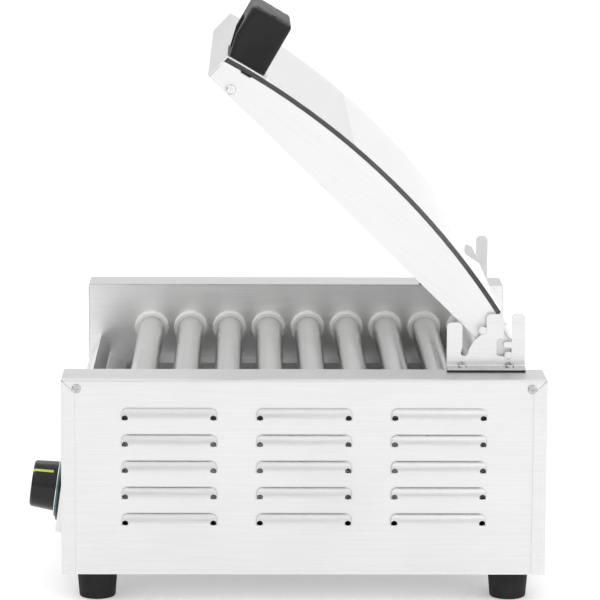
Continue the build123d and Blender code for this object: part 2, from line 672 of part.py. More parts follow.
def lid_plate():
    """Right side plate of the lid, with a curved flange under the glass."""
    centre, radius = glass_circle()
    body = area((LID_FRONT_Y, GLASS_REAR_Y), (LID_LOWER_Z, TOP_Z + 80)) & Pos(centre.X, centre.Y) * Circle(radius)
    tail = make_face(Polyline(
        (GLASS_REAR_Y - 30, LID_LOWER_Z),
        (LID_TAIL_Y - 4, LID_LOWER_Z),
        (LID_TAIL_Y, LID_LOWER_Z + 4),
        (LID_TAIL_Y, LID_TAIL_TOP - 4),
        (LID_TAIL_Y - 4, LID_TAIL_TOP),
        (GLASS_REAR_Y, GLASS_REAR_Z - 4),
        (GLASS_REAR_Y - 30, GLASS_REAR_Z - 4),
        close=True,
    ))
    plate = slab(body + tail, LID_OUTER_X - LID_PLATE, LID_OUTER_X)
    flange = curved_band(-SHEET, 0, (LID_FRONT_Y, GLASS_REAR_Y))
    plate += slab(flange, LID_OUTER_X - LID_FLANGE, LID_OUTER_X)
    y, z = side_screw_spot()
    return plate - rod(LID_OUTER_X - 5, LID_OUTER_X + 5, y, z, SCREW_HOLE)


def lid_glass():
    """Curved clear glass over both side plates."""
    band = curved_band(GLASS_SEAT, GLASS_SEAT + GLASS, (LID_FRONT_Y, GLASS_REAR_Y))
    return slab(band, -LID_OUTER_X, LID_OUTER_X)


def strip_lift():
    """Underside of the front strip above the glass's lower face."""
    return GLASS + 2 * GLASS_SEAT


def front_strip():
    """Folded strip over the glass's front edge, with end tabs inside the side plates."""
    y = (LID_FRONT_Y - SHEET - 0.5, LID_FRONT_Y + STRIP_WIDTH - 2)
    low = strip_lift()
    strip = slab(curved_band(low, low + SHEET, y), -LID_OUTER_X, LID_OUTER_X)
    top = curve_height(y[0], low + SHEET)
    strip += block((-LID_OUTER_X, LID_OUTER_X), (y[0], y[0] + SHEET), (LID_LOWER_Z, top))
    tab_x = LID_OUTER_X - LID_PLATE
    for x in ((tab_x - SHEET, tab_x), (-tab_x, -tab_x + SHEET)):
        strip += block(x, (y[0], LID_FRONT_Y + 30), (LID_LOWER_Z, LID_LOWER_Z + 13))
    y, z = side_screw_spot()
    strip -= rod(-LENGTH, LENGTH, y, z, SCREW_HOLE)
    for x in handle_leg_xs():
        strip -= handle_place(x, -1) * Cylinder(SCREW_HOLE / 2, 6)
    return strip


def rear_strip():
    """Cross strip that runs on from under the glass's rear edge and folds down behind it."""
    high = -GLASS_SEAT
    low = high - SHEET
    reach = LID_OUTER_X - LID_PLATE
    inset = reach - LID_FLANGE
    edge = GLASS_REAR_Y + CLEAR
    strip = slab(curved_band(low, high, (edge, REAR_STRIP_Y)), -reach, reach)
    strip += slab(curved_band(low, high, (GLASS_REAR_Y - REAR_STRIP_LAP, edge)), -inset, inset)
    fold = (REAR_STRIP_Y - SHEET, REAR_STRIP_Y)
    strip += block((-reach, reach), fold, (LID_TAIL_TOP - REAR_STRIP_FOLD, curve_height(REAR_STRIP_Y, low) + 0.5))
    for x in rear_screw_xs():
        strip -= rear_screw_place(x) * Cylinder(SCREW_HOLE / 2, 6)
    return strip


def rear_screw_xs():
    """Where the rear strip's three screws lie along the grill."""
    reach = LID_OUTER_X - REAR_SCREW_INSET
    return (-reach, 0.0, reach)


def rear_screw_place(x):
    """Seat of a rear strip screw on the strip's top face."""
    return curve_place(x, REAR_SCREW_Y, -GLASS_SEAT)


def curve_place(x, y, lift):
    """Place over the glass's lower face at a lift: local Z out of it, local X along the grill."""
    centre, radius = glass_circle()
    out = (Vector(y, curve_height(y, lift)) - centre).normalized()
    spot = centre + out * (radius + lift)
    return Plane(origin=(x, spot.X, spot.Y), x_dir=(1, 0, 0), z_dir=(0, out.X, out.Y)).location


def handle_place(x, lift):
    """Place on the front strip's top face."""
    return curve_place(x, HANDLE_SEAT_Y, strip_lift() + SHEET + lift)


def handle_leg_xs():
    """Middles of the handle's two legs along X."""
    reach = (HANDLE_LENGTH - HANDLE_LEG) / 2
    return (HANDLE_X - reach, HANDLE_X + reach)


def handle():
    """Bow handle near the right end of the front strip."""
    bow = Pos(0, 0, HANDLE_HEIGHT / 2) * Box(HANDLE_LENGTH, HANDLE_WIDTH, HANDLE_HEIGHT)
    bow = fillet(bow.edges().group_by(Axis.Z)[-1] + bow.edges().filter_by(Axis.Z), 4.0)
    gap = HANDLE_HEIGHT - HANDLE_GRIP
    window = Pos(0, 0, gap / 2 - 5) * Box(HANDLE_LENGTH - 2 * HANDLE_LEG, 2 * HANDLE_WIDTH, gap + 10)
    bow -= fillet(window.edges().filter_by(Axis.Y).group_by(Axis.Z)[-1], 9.0)
    front = -HANDLE_WIDTH / 2
    wedge = make_face(Polyline(
        (front - HANDLE_TAPER, 0),
        (front + HANDLE_TAPER, 0),
        (front, HANDLE_TAPER_HEIGHT),
        (front - HANDLE_TAPER, HANDLE_TAPER_HEIGHT),
        close=True,
    ))
    bow -= slab(wedge, -HANDLE_LENGTH, HANDLE_LENGTH)
    for x in handle_leg_xs():
        bow -= Pos(x - HANDLE_X, 0, 0) * Cylinder(SCREW_SHANK / 2 + 0.1, 2 * SCREW_LENGTH)
    return handle_place(HANDLE_X, 0.3) * bow


def lid_screws():
    """Screws of the lid: handle, side plates and rear strip."""
    screws = [rear_screw_place(x) * pan_screw() for x in rear_screw_xs()]
    y, z = side_screw_spot()
    screws += [screw_at(side * LID_OUTER_X, y, z, (side, 0, 0)) for side in (-1, 1)]
    for x in handle_leg_xs():
        screws.append(handle_place(x, -SHEET) * handle_stud())
    return screws


def handle_stud():
    """Headless screw up into a handle leg, cut flush under the front strip."""
    return Pos(0, 0, SCREW_LENGTH / 2) * Cylinder(SCREW_SHANK / 2, SCREW_LENGTH)


def pin_spots():
    """(y, z) of the lid pins with the lid closed."""
    return [(FRONT_PIN_Y, PIN_Z), (REAR_PIN_Y, PIN_Z)]


def lid_pins():
    """Headed pins on the lid's side plates, running in the brackets' slots."""
    pins = []
    shank_end = WALL_X + BRACKET_SHEET + 2 * CLEAR
    for y, z in pin_spots():
        pin = rod(LID_OUTER_X, shank_end, y, z, PIN_DIAMETER)
        head = rod(shank_end, shank_end + PIN_HEAD_LENGTH, y, z, PIN_HEAD)
        pin += fillet(head.edges().sort_by(Axis.X)[-1], 0.8)
        pins += on_both_sides(pin)
    return pins


def pin_track(y, z):
    """Slot that a pin sweeps in the bracket while the lid opens."""
    away = Vector(y - HINGE_Y, z - HINGE_Z)
    start = math.degrees(math.atan2(away.Y, away.X)) - LID_OPEN
    sweep = CenterArc((HINGE_Y, HINGE_Z), away.length, start, LID_OPEN)
    return SlotArc(sweep, PIN_DIAMETER + 2 * PIN_CLEARANCE)


def open_pin_spot(y, z):
    """(y, z) of a pin with the lid open."""
    away = Vector(y - HINGE_Y, z - HINGE_Z)
    swing = math.radians(-LID_OPEN)
    open_y = away.X * math.cos(swing) - away.Y * math.sin(swing)
    open_z = away.X * math.sin(swing) + away.Y * math.cos(swing)
    return HINGE_Y + open_y, HINGE_Z + open_z


def hook_slot():
    """Entry for the rear pin: down from the top, round the left of a tooth and under it."""
    rest_y, rest_z = open_pin_spot(REAR_PIN_Y, PIN_Z)
    half = PIN_DIAMETER / 2 + PIN_CLEARANCE
    back = rest_y + half
    tooth_low = rest_z + half + HOOK_HEADROOM
    tooth_high = tooth_low + HOOK_TOOTH
    left = HOOK_LEFT_Y
    cavity = area((left, back), (rest_z, tooth_high + half))
    corners = cavity.vertices().group_by(Axis.X)[0].group_by(Axis.Y)[-1]
    cavity = fillet(corners, half)
    tooth = area((back - HOOK_REACH, back + 1), (tooth_low, tooth_high))
    tooth = fillet(tooth.vertices().group_by(Axis.X)[0], HOOK_TOOTH * 0.45)
    entry = area((back - HOOK_REACH, back), (tooth_high, BRACKET_TOP + 1))
    return cavity + entry - tooth + Pos(rest_y, rest_z) * Circle(half)


def lid_bracket():
    """Right lid bracket: three prongs with two pin slots, and a screwed foot."""
    back = BRACKET_FRONT_Y + BRACKET_WIDTH
    front_edge = BRACKET_FRONT_Y + BRACKET_PRONG
    foot_z = TOP_Z + BRACKET_PAD
    face = area((BRACKET_FRONT_Y, back), (foot_z, BRACKET_TOP))
    face -= area((BRACKET_FRONT_Y - 1, front_edge), (BRACKET_LOW_TOP, BRACKET_TOP + 1))
    path = math.dist((FRONT_PIN_Y, PIN_Z), (HINGE_Y, HINGE_Z))
    mouth = area((front_edge, BRACKET_MIDDLE_Y), (PIN_Z, BRACKET_TOP + 1))
    face -= mouth - Pos(HINGE_Y, HINGE_Z) * Circle(path)
    face -= pin_track(FRONT_PIN_Y, PIN_Z)
    face -= pin_track(REAR_PIN_Y, PIN_Z)
    face -= hook_slot()
    tips = face.vertices().filter_by(lambda v: v.Y > BRACKET_LOW_TOP - 1)
    face = fillet(tips, 4.0)
    bracket = slab(face, WALL_X, WALL_X + BRACKET_SHEET)
    web_x = WALL_X + BRACKET_SHEET
    foot = block((WALL_X, web_x + BRACKET_FOOT), (BRACKET_FRONT_Y, back), (foot_z, foot_z + BRACKET_SHEET))
    bracket += foot
    inside = bracket.edges().filter_by(Axis.Y).filter_by(
        lambda e: abs(e.center().X - web_x) < 0.1 and abs(e.center().Z - foot_z - BRACKET_SHEET) < 0.1
    )
    bracket = fillet(inside, BRACKET_BEND * 0.6)
    for x, y in bracket_screw_spots():
        bracket -= Pos(x, y, TOP_Z) * Cylinder(SCREW_HOLE / 2, 20)
    return bracket


def bracket_pad():
    """Rubber pad between the right bracket's foot and the housing."""
    x = (WALL_X + BRACKET_BEND, WALL_X + BRACKET_SHEET + BRACKET_FOOT - BRACKET_PAD / 2)
    y = (BRACKET_FRONT_Y, BRACKET_FRONT_Y + BRACKET_WIDTH)
    pad = block(x, y, (TOP_Z, TOP_Z + BRACKET_PAD))
    for hole_x, hole_y in bracket_screw_spots():
        pad -= Pos(hole_x, hole_y, TOP_Z) * Cylinder(SCREW_HOLE / 2, 20)
    return pad


def case_screws():
    """Screws of the end panels and of the bracket feet."""
    screws = []
    for side in (-1, 1):
        screws += [screw_at(side * OUTER_X, y, z, (side, 0, 0)) for y, z in end_screw_spots()]
        for x, y in bracket_screw_spots():
            screws.append(screw_at(side * x, y, TOP_Z + BRACKET_PAD + BRACKET_SHEET, (0, 0, 1)))
    return screws


def build():
    """Every node of the grill, by name, still measured from the housings' front plane."""
    nodes = {}
    pairs = {
        "end_wrap": end_wrap(),
        "louvre_panel": louvre_panel(),
        "inner_wall": inner_wall(),
        "lid_bracket": lid_bracket(),
        "lid_plate": raised(lid_plate()),
    }
    for name, shape in pairs.items():
        nodes[name + "_right"], nodes[name + "_left"] = on_both_sides(shape)
    nodes["base_plate"] = base_plate()
    nodes["front_panel"] = front_panel()
    nodes["rear_panel"] = rear_panel()
    nodes["roller_ledges"] = on_both_sides(roller_ledge())
    nodes["feet"] = feet()
    nodes["drip_tray"] = drip_tray()
    nodes["cable_gland"] = cable_gland()
    nodes["bracket_pads"] = on_both_sides(bracket_pad())
    nodes["case_screws"] = case_screws()
    nodes["roller_bushes"] = [side for bush in bushes() for side in on_both_sides(bush)]
    nodes["heater_bars"] = on_both_sides(heater_bar())
    nodes["heater_rods"] = heater_rods()
    for number, y in enumerate(ROLLER_YS, start=1):
        nodes[f"roller_{number}"] = roller(y)
        nodes[f"sprocket_{number}"] = sprocket(y, ROLLER_Z, ROLLER_DIAMETER + 0.1)
    nodes["drive_chain"] = drive_chain()
    nodes["gear_motor"] = gear_motor()
    nodes["motor_bracket"] = motor_bracket()
    nodes["motor_shaft"] = motor_shaft()
    nodes["motor_sprocket"] = motor_sprocket()
    nodes["control_knob"], nodes["knob_pointer"] = knob_parts()
    nodes["dial_bezel"] = dial_bezel()
    nodes["dial_ring"] = dial_ring()
    nodes["thermostat"] = thermostat()
    nodes["thermostat_shaft"] = thermostat_shaft()
    nodes["switch_housing"] = switch_housing()
    nodes["switch_rocker"] = switch_rocker()
    nodes["indicator_lamp"] = indicator_lamp()
    nodes["lid_glass"] = raised(lid_glass())
    nodes["front_strip"] = raised(front_strip())
    nodes["rear_strip"] = raised(rear_strip())
    nodes["lid_handle"] = raised(handle())
    nodes["lid_screws"] = [raised(screw) for screw in lid_screws()]
    nodes["lid_pins"] = [raised(pin) for pin in lid_pins()]
    return nodes


def solids_of(shape):
    """The solids of a node, whether it is one shape or a group."""
    group = shape if isinstance(shape, (list, tuple)) else [shape]
    return [solid for member in group for solid in member.solids()]


def main():
    """Centre the machine over the origin and write one STEP file per node."""
    nodes = {name: Compound(children=solids_of(shape)) for name, shape in build().items()}
    boxes = [node.bounding_box() for node in nodes.values()]
    middle = (min(box.min.Y for box in boxes) + max(box.max.Y for box in boxes)) / 2
    os.makedirs("parts", exist_ok=True)
    for name, node in nodes.items():
        node = Pos(0, -middle, 0) * node
        export_step(node, os.path.join("parts", name + ".step"))
    print("nodes", len(nodes))
    print("front plane of the housings at y", round(-middle, 4))
    print("hinge", round(HINGE_Y - middle, 4), HINGE_Z)
    print("rollers y", [round(y - middle, 4) for y in ROLLER_YS], "z", ROLLER_Z)
    print("motor", round(MOTOR_Y - middle, 4), round(MOTOR_Z, 4))
    for label, x, lift in (("knob", KNOB_X, 0), ("rocker", SWITCH_X, -8)):
        place = on_panel(x, KNOB_Z, lift).position
        print(label, round(place.X, 4), round(place.Y - middle, 4), round(place.Z, 4))
    print("panel tilt", round(PANEL_TILT, 4))


main()
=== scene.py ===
"""Visual model of a hot dog roller grill with its glass lid raised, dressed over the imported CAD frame."""

import json
import logging
import math
from dataclasses import dataclass, field
from enum import Enum
from typing import Callable, Sequence

import bpy
from mathutils import Matrix, Vector


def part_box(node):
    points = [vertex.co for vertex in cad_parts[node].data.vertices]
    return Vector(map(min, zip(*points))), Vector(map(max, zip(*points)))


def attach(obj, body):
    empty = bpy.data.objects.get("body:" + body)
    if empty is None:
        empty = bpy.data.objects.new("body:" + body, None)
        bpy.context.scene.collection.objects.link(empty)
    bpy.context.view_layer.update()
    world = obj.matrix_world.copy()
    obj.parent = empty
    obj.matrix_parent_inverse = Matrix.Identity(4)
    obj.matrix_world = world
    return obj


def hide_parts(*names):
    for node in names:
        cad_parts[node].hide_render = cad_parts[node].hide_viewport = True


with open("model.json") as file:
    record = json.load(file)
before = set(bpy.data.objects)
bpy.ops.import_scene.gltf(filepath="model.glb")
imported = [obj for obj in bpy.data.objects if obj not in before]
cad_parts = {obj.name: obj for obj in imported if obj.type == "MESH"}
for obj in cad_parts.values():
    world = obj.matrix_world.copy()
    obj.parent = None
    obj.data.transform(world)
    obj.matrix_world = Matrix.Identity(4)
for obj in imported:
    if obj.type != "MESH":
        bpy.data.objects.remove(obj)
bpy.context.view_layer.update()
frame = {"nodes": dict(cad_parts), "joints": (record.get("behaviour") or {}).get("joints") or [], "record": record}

logging.basicConfig(level=logging.INFO, format="%(message)s")
log = logging.getLogger("roller_grill")

SMOOTH_ANGLE = 35.0
DOUBLES = 1e-6
HAIR = 1e-5


class Grain(Enum):
    """Which way the brushing or grinding lines run on a metal part."""

    ALONG_X = (22.0, 1500.0, 1500.0)
    ALONG_Y = (1500.0, 22.0, 1500.0)
    ALONG_LID = (1500.0, 22.0, 1501.0)
    AROUND_X = (1500.0, 30.0, 30.0)
    NONE = (60.0, 60.0, 60.0)


class Side(Enum):
    """The grill's two ends, as the sign of X."""

    LEFT = -1
    RIGHT = 1


class NodeTree:
    """Short hand for adding and joining nodes in a material or a group."""

    def __init__(self, tree: bpy.types.NodeTree) -> None:
        """Keep the tree to work on.

        Args:
            tree: Material or group tree.
        """
        self.tree = tree

    def add(self, kind: str, **settings: object) -> bpy.types.Node:
        """Add a node.

        Args:
            kind: Node type name.
            **settings: Properties to set on it.

        Returns:
            The new node.
        """
        node = self.tree.nodes.new(kind)
        for name, value in settings.items():
            setattr(node, name, value)
        return node

    def join(self, source: bpy.types.NodeSocket, target: bpy.types.NodeSocket) -> None:
        """Link two sockets."""
        self.tree.links.new(source, target)

    def maths(self, operation: str, a: object, b: object = 0.0) -> bpy.types.NodeSocket:
        """Add a Math node.

        Args:
            operation: Math operation name.
            a: First socket or number.
            b: Second socket or number.

        Returns:
            The node's result.
        """
        node = self.add("ShaderNodeMath", operation=operation)
        for socket, value in zip(node.inputs, (a, b)):
            if isinstance(value, bpy.types.NodeSocket):
                self.join(value, socket)
            else:
                socket.default_value = value
        return node.outputs[0]

    def span(self, value: bpy.types.NodeSocket, low: float, high: float,
             to_low: float = 0.0, to_high: float = 1.0) -> bpy.types.NodeSocket:
        """Map a value from one range to another, clamped.

        Args:
            value: Socket to map.
            low: Input that gives to_low.
            high: Input that gives to_high.
            to_low: Lowest result.
            to_high: Highest result.

        Returns:
            The mapped value.
        """
        node = self.add("ShaderNodeMapRange", clamp=True)
        self.join(value, node.inputs[0])
        for socket, number in zip(node.inputs[1:5], (low, high, to_low, to_high)):
            socket.default_value = number
        return node.outputs[0]

    def blend(self, mask: bpy.types.NodeSocket, low: Sequence[float],
              high: Sequence[float]) -> bpy.types.NodeSocket:
        """Mix two colours by a mask.

        Args:
            mask: Share of the second colour.
            low: Colour where the mask is 0.
            high: Colour where the mask is 1.

        Returns:
            The mixed colour.
        """
        node = self.add("ShaderNodeMix", data_type="RGBA")
        self.join(mask, node.inputs[0])
        node.inputs[6].default_value = (*low, 1.0)
        node.inputs[7].default_value = (*high, 1.0)
        return node.outputs[2]

    def noise(self, vector: bpy.types.NodeSocket, scale: float, detail: float = 3.0,
              roughness: float = 0.5) -> bpy.types.NodeSocket:
        """Add a noise pattern.

        Args:
            vector: Coordinates of the pattern.
            scale: Repeats to a unit of the coordinates.
            detail: Finer layers.
            roughness: Strength of the finer layers.

        Returns:
            The noise value, about 0.5 on average.
        """
        node = self.add("ShaderNodeTexNoise")
        self.join(vector, node.inputs["Vector"])
        node.inputs["Scale"].default_value = scale
        node.inputs["Detail"].default_value = detail
        node.inputs["Roughness"].default_value = roughness
        return node.outputs[0]


@dataclass(frozen=True)
class SharedEffect:
    """A node group that several finishes share, built once."""

    title: str
    numbers: tuple[tuple[str, float], ...]
    results: tuple[str, ...]
    wiring: Callable[[NodeTree, bpy.types.Node, bpy.types.Node], None]

    def tree(self) -> bpy.types.NodeTree:
        """Return the group, building it the first time.

        Returns:
            The shader node group.
        """
        ready = bpy.data.node_groups.get(self.title)
        if ready:
            return ready
        group = bpy.data.node_groups.new(self.title, "ShaderNodeTree")
        group.interface.new_socket("Vector", in_out="INPUT", socket_type="NodeSocketVector")
        for name, value in self.numbers:
            socket = group.interface.new_socket(name, in_out="INPUT", socket_type="NodeSocketFloat")
            socket.default_value = value
        for name in self.results:
            group.interface.new_socket(name, in_out="OUTPUT", socket_type="NodeSocketFloat")
        tools = NodeTree(group)
        self.wiring(tools, tools.add("NodeGroupInput"), tools.add("NodeGroupOutput"))
        return group

    def place(self, tools: NodeTree, vector: bpy.types.NodeSocket, **numbers: float) -> bpy.types.Node:
        """Put the group in a material.

        Args:
            tools: Material tree to add it to.
            vector: Coordinates of its pattern.
            **numbers: Values of its other inputs.

        Returns:
            The group node.
        """
        node = tools.add("ShaderNodeGroup", node_tree=self.tree())
        tools.join(vector, node.inputs["Vector"])
        for name, value in numbers.items():
            node.inputs[name].default_value = value
        return node


def wire_streaks(tools: NodeTree, start: bpy.types.Node, end: bpy.types.Node) -> None:
    """Wire brushing lines: fine and coarse streaks, and a height for the bump.

    Args:
        tools: The group's tree.
        start: Group input node.
        end: Group output node.
    """
    vector = start.outputs["Vector"]
    fine_share = 0.65
    fine = tools.noise(vector, scale=1.0, detail=4.0, roughness=0.65)
    coarse = tools.noise(vector, scale=0.35, detail=2.0, roughness=0.5)
    mixed = tools.maths(
        "ADD", tools.maths("MULTIPLY", fine, fine_share), tools.maths("MULTIPLY", coarse, 1.0 - fine_share)
    )
    streak = tools.span(mixed, 0.25, 0.75)
    tools.join(streak, end.inputs["Streak"])
    tools.join(tools.maths("MULTIPLY", streak, start.outputs["Depth"]), end.inputs["Height"])


def wire_handling(tools: NodeTree, start: bpy.types.Node, end: bpy.types.Node) -> None:
    """Wire soft wiping marks and a few fine scratches.

    Args:
        tools: The group's tree.
        start: Group input node.
        end: Group output node.
    """
    vector = start.outputs["Vector"]
    cloud = tools.span(tools.noise(vector, scale=9.0, detail=3.0, roughness=0.55), 0.42, 0.72)
    tools.join(tools.maths("MULTIPLY", cloud, start.outputs["Amount"]), end.inputs["Smudge"])
    stretch = tools.add("ShaderNodeMapping")
    tools.join(vector, stretch.inputs["Vector"])
    stretch.inputs["Rotation"].default_value = (0.5, 0.35, 0.2)
    stretch.inputs["Scale"].default_value = (240.0, 18.0, 240.0)
    lines = tools.span(tools.noise(stretch.outputs[0], scale=1.0, detail=1.0, roughness=0.4), 0.735, 0.75)
    tools.join(tools.maths("MULTIPLY", lines, start.outputs["Amount"]), end.inputs["Scratch"])


def wire_moulding(tools: NodeTree, start: bpy.types.Node, end: bpy.types.Node) -> None:
    """Wire the fine spark-eroded texture of a moulded part, with a slow drift of tone.

    Args:
        tools: The group's tree.
        start: Group input node.
        end: Group output node.
    """
    vector = start.outputs["Vector"]
    cells = tools.add("ShaderNodeTexVoronoi", feature="SMOOTH_F1")
    tools.join(vector, cells.inputs["Vector"])
    tools.join(start.outputs["Pitch"], cells.inputs["Scale"])
    height = tools.maths("MULTIPLY", cells.outputs["Distance"], start.outputs["Depth"])
    tools.join(height, end.inputs["Height"])
    tools.join(tools.span(tools.noise(vector, scale=55.0, detail=3.0), 0.35, 0.65), end.inputs["Tone"])


def wire_dust(tools: NodeTree, start: bpy.types.Node, end: bpy.types.Node) -> None:
    """Wire a mask of settled dust, thickest on faces that look up.

    Args:
        tools: The group's tree.
        start: Group input node.
        end: Group output node.
    """
    parts = tools.add("ShaderNodeSeparateXYZ")
    tools.join(tools.add("ShaderNodeTexCoord").outputs["Normal"], parts.inputs[0])
    up = tools.span(parts.outputs["Z"], 0.3, 1.0)
    patches = tools.noise(start.outputs["Vector"], scale=130.0, detail=4.0, roughness=0.6)
    cloud = tools.span(patches, 0.38, 0.7)
    dust = tools.maths("MULTIPLY", tools.maths("MULTIPLY", up, cloud), start.outputs["Amount"])
    tools.join(dust, end.inputs["Dust"])


STREAKS = SharedEffect("brushing_lines", (("Depth", 1.0),), ("Streak", "Height"), wire_streaks)
HANDLING = SharedEffect("handling_marks", (("Amount", 1.0),), ("Smudge", "Scratch"), wire_handling)
MOULDING = SharedEffect(
    "moulded_texture", (("Pitch", 1500.0), ("Depth", 1.0)), ("Height", "Tone"), wire_moulding
)
DUST = SharedEffect("settled_dust", (("Amount", 1.0),), ("Dust",), wire_dust)


@dataclass(frozen=True)
class Finish:
    """Base of every finish: a named material with its own node tree."""

    title: str

    def material(self) -> bpy.types.Material:
        """Return the material, building it the first time.

        Returns:
            The finished material.
        """
        ready = bpy.data.materials.get(self.title)
        if ready:
            return ready
        made = bpy.data.materials.new(self.title)
        made.use_nodes = True
        made.node_tree.nodes.clear()
        tools = NodeTree(made.node_tree)
        shader = tools.add("ShaderNodeBsdfPrincipled")
        output = tools.add("ShaderNodeOutputMaterial")
        tools.join(shader.outputs[0], output.inputs[0])
        place = tools.add("ShaderNodeTexCoord").outputs["Object"]
        self.wire(tools, shader, place)
        return made

    def wire(self, tools: NodeTree, shader: bpy.types.Node, place: bpy.types.NodeSocket) -> None:
        """Wire the finish into its shader.

        Args:
            tools: The material's tree.
            shader: Its Principled shader.
            place: Object coordinates.
        """
        raise NotImplementedError

    @staticmethod
    def bump(tools: NodeTree, shader: bpy.types.Node, height: bpy.types.NodeSocket,
             strength: float, distance: float) -> None:
        """Join a height to the shader's normal through a Bump node.

        Args:
            tools: The material's tree.
            shader: Its Principled shader.
            height: Height value.
            strength: Bump strength.
            distance: Height of the bump in metres.
        """
        node = tools.add("ShaderNodeBump")
        node.inputs["Strength"].default_value = strength
        node.inputs["Distance"].default_value = distance
        tools.join(height, node.inputs["Height"])
        tools.join(node.outputs[0], shader.inputs["Normal"])


@dataclass(frozen=True)
class BrushedMetal(Finish):
    """Sheet or tube of bare metal with brushing lines, wiping marks and fine scratches."""

    grain: Grain = Grain.ALONG_Y
    dark: tuple[float, float, float] = (0.66, 0.66, 0.658)
    light: tuple[float, float, float] = (0.76, 0.76, 0.757)
    rough: tuple[float, float] = (0.26, 0.4)
    depth: float = 0.25
    marks: float = 0.6
    lid_slope: float = -38.0
    smudge_tone: float = 0.35
    smudge_rough: float = 0.07
    scratch_rough: float = 0.12
    bump_height: float = 0.00006

    def wire(self, tools: NodeTree, shader: bpy.types.Node, place: bpy.types.NodeSocket) -> None:
        """Wire the streaks to colour, roughness and bump."""
        shader.inputs["Metallic"].default_value = 1.0
        stretch = tools.add("ShaderNodeMapping")
        stretch.inputs["Scale"].default_value = self.grain.value
        if self.grain is Grain.ALONG_LID:
            stretch.vector_type = "TEXTURE"
            stretch.inputs["Rotation"].default_value = (math.radians(self.lid_slope), 0.0, 0.0)
            stretch.inputs["Scale"].default_value = tuple(1 / size for size in self.grain.value)
        tools.join(place, stretch.inputs["Vector"])
        streaks = STREAKS.place(tools, stretch.outputs[0], Depth=1.0)
        marks = HANDLING.place(tools, place, Amount=self.marks)
        tone = tools.maths("SUBTRACT", streaks.outputs["Streak"],
                           tools.maths("MULTIPLY", marks.outputs["Smudge"], self.smudge_tone))
        tools.join(tools.blend(tools.span(tone, 0.0, 1.0), self.dark, self.light), shader.inputs["Base Color"])
        rough = tools.maths("ADD", tools.span(streaks.outputs["Streak"], 0.0, 1.0, *self.rough),
                            tools.maths("MULTIPLY", marks.outputs["Smudge"], self.smudge_rough))
        scratched = tools.maths("MULTIPLY", marks.outputs["Scratch"], self.scratch_rough)
        rough = tools.maths("ADD", rough, scratched)
        tools.join(rough, shader.inputs["Roughness"])
        self.bump(tools, shader, streaks.outputs["Height"], self.depth, self.bump_height)


@dataclass(frozen=True)
class Moulding(Finish):
    """Moulded plastic or rubber with a fine texture, drifting tone and a little dust."""

    colour: tuple[float, float, float] = (0.02, 0.02, 0.02)
    worn: tuple[float, float, float] = (0.05, 0.05, 0.05)
    rough: tuple[float, float] = (0.3, 0.4)
    pitch: float = 1500.0
    depth: float = 0.2
    dust: float = 0.15
    coat: float = 0.0
    coat_rough: float = 0.08
    gloss: float = 0.5
    drift: float = 0.35
    dust_rough: float = 0.3
    bump_height: float = 0.0001

    def wire(self, tools: NodeTree, shader: bpy.types.Node, place: bpy.types.NodeSocket) -> None:
        """Wire the moulded texture to colour, roughness and bump."""
        shader.inputs["Coat Weight"].default_value = self.coat
        shader.inputs["Coat Roughness"].default_value = self.coat_rough
        shader.inputs["Specular IOR Level"].default_value = self.gloss
        texture = MOULDING.place(tools, place, Pitch=self.pitch, Depth=1.0)
        dust = DUST.place(tools, place, Amount=self.dust)
        drifted = tools.maths("MULTIPLY", texture.outputs["Tone"], self.drift)
        mask = tools.maths("ADD", drifted, dust.outputs["Dust"])
        tools.join(tools.blend(tools.span(mask, 0.0, 1.0), self.colour, self.worn), shader.inputs["Base Color"])
        rough = tools.span(texture.outputs["Tone"], 0.0, 1.0, *self.rough)
        dusty = tools.maths("MULTIPLY", dust.outputs["Dust"], self.dust_rough)
        tools.join(tools.maths("ADD", rough, dusty), shader.inputs["Roughness"])
        self.bump(tools, shader, texture.outputs["Height"], self.depth, self.bump_height)


@dataclass(frozen=True)
class Enamel(Finish):
    """Sprayed enamel with an orange-peel skin."""

    colour: tuple[float, float, float] = (0.06, 0.065, 0.07)
    worn: tuple[float, float, float] = (0.1, 0.105, 0.11)
    rough: tuple[float, float] = (0.32, 0.45)
    coat: float = 0.25
    peel_pitch: float = 700.0
    depth: float = 0.2
    dust: float = 0.5
    bump_height: float = 0.0001

    def wire(self, tools: NodeTree, shader: bpy.types.Node, place: bpy.types.NodeSocket) -> None:
        """Wire the orange peel and the dust."""
        shader.inputs["Coat Weight"].default_value = self.coat
        peel = tools.noise(place, scale=self.peel_pitch, detail=2.0, roughness=0.4)
        dust = DUST.place(tools, place, Amount=self.dust)
        tools.join(tools.blend(dust.outputs["Dust"], self.colour, self.worn), shader.inputs["Base Color"])
        tools.join(tools.span(peel, 0.3, 0.7, *self.rough), shader.inputs["Roughness"])
        self.bump(tools, shader, peel, self.depth, self.bump_height)


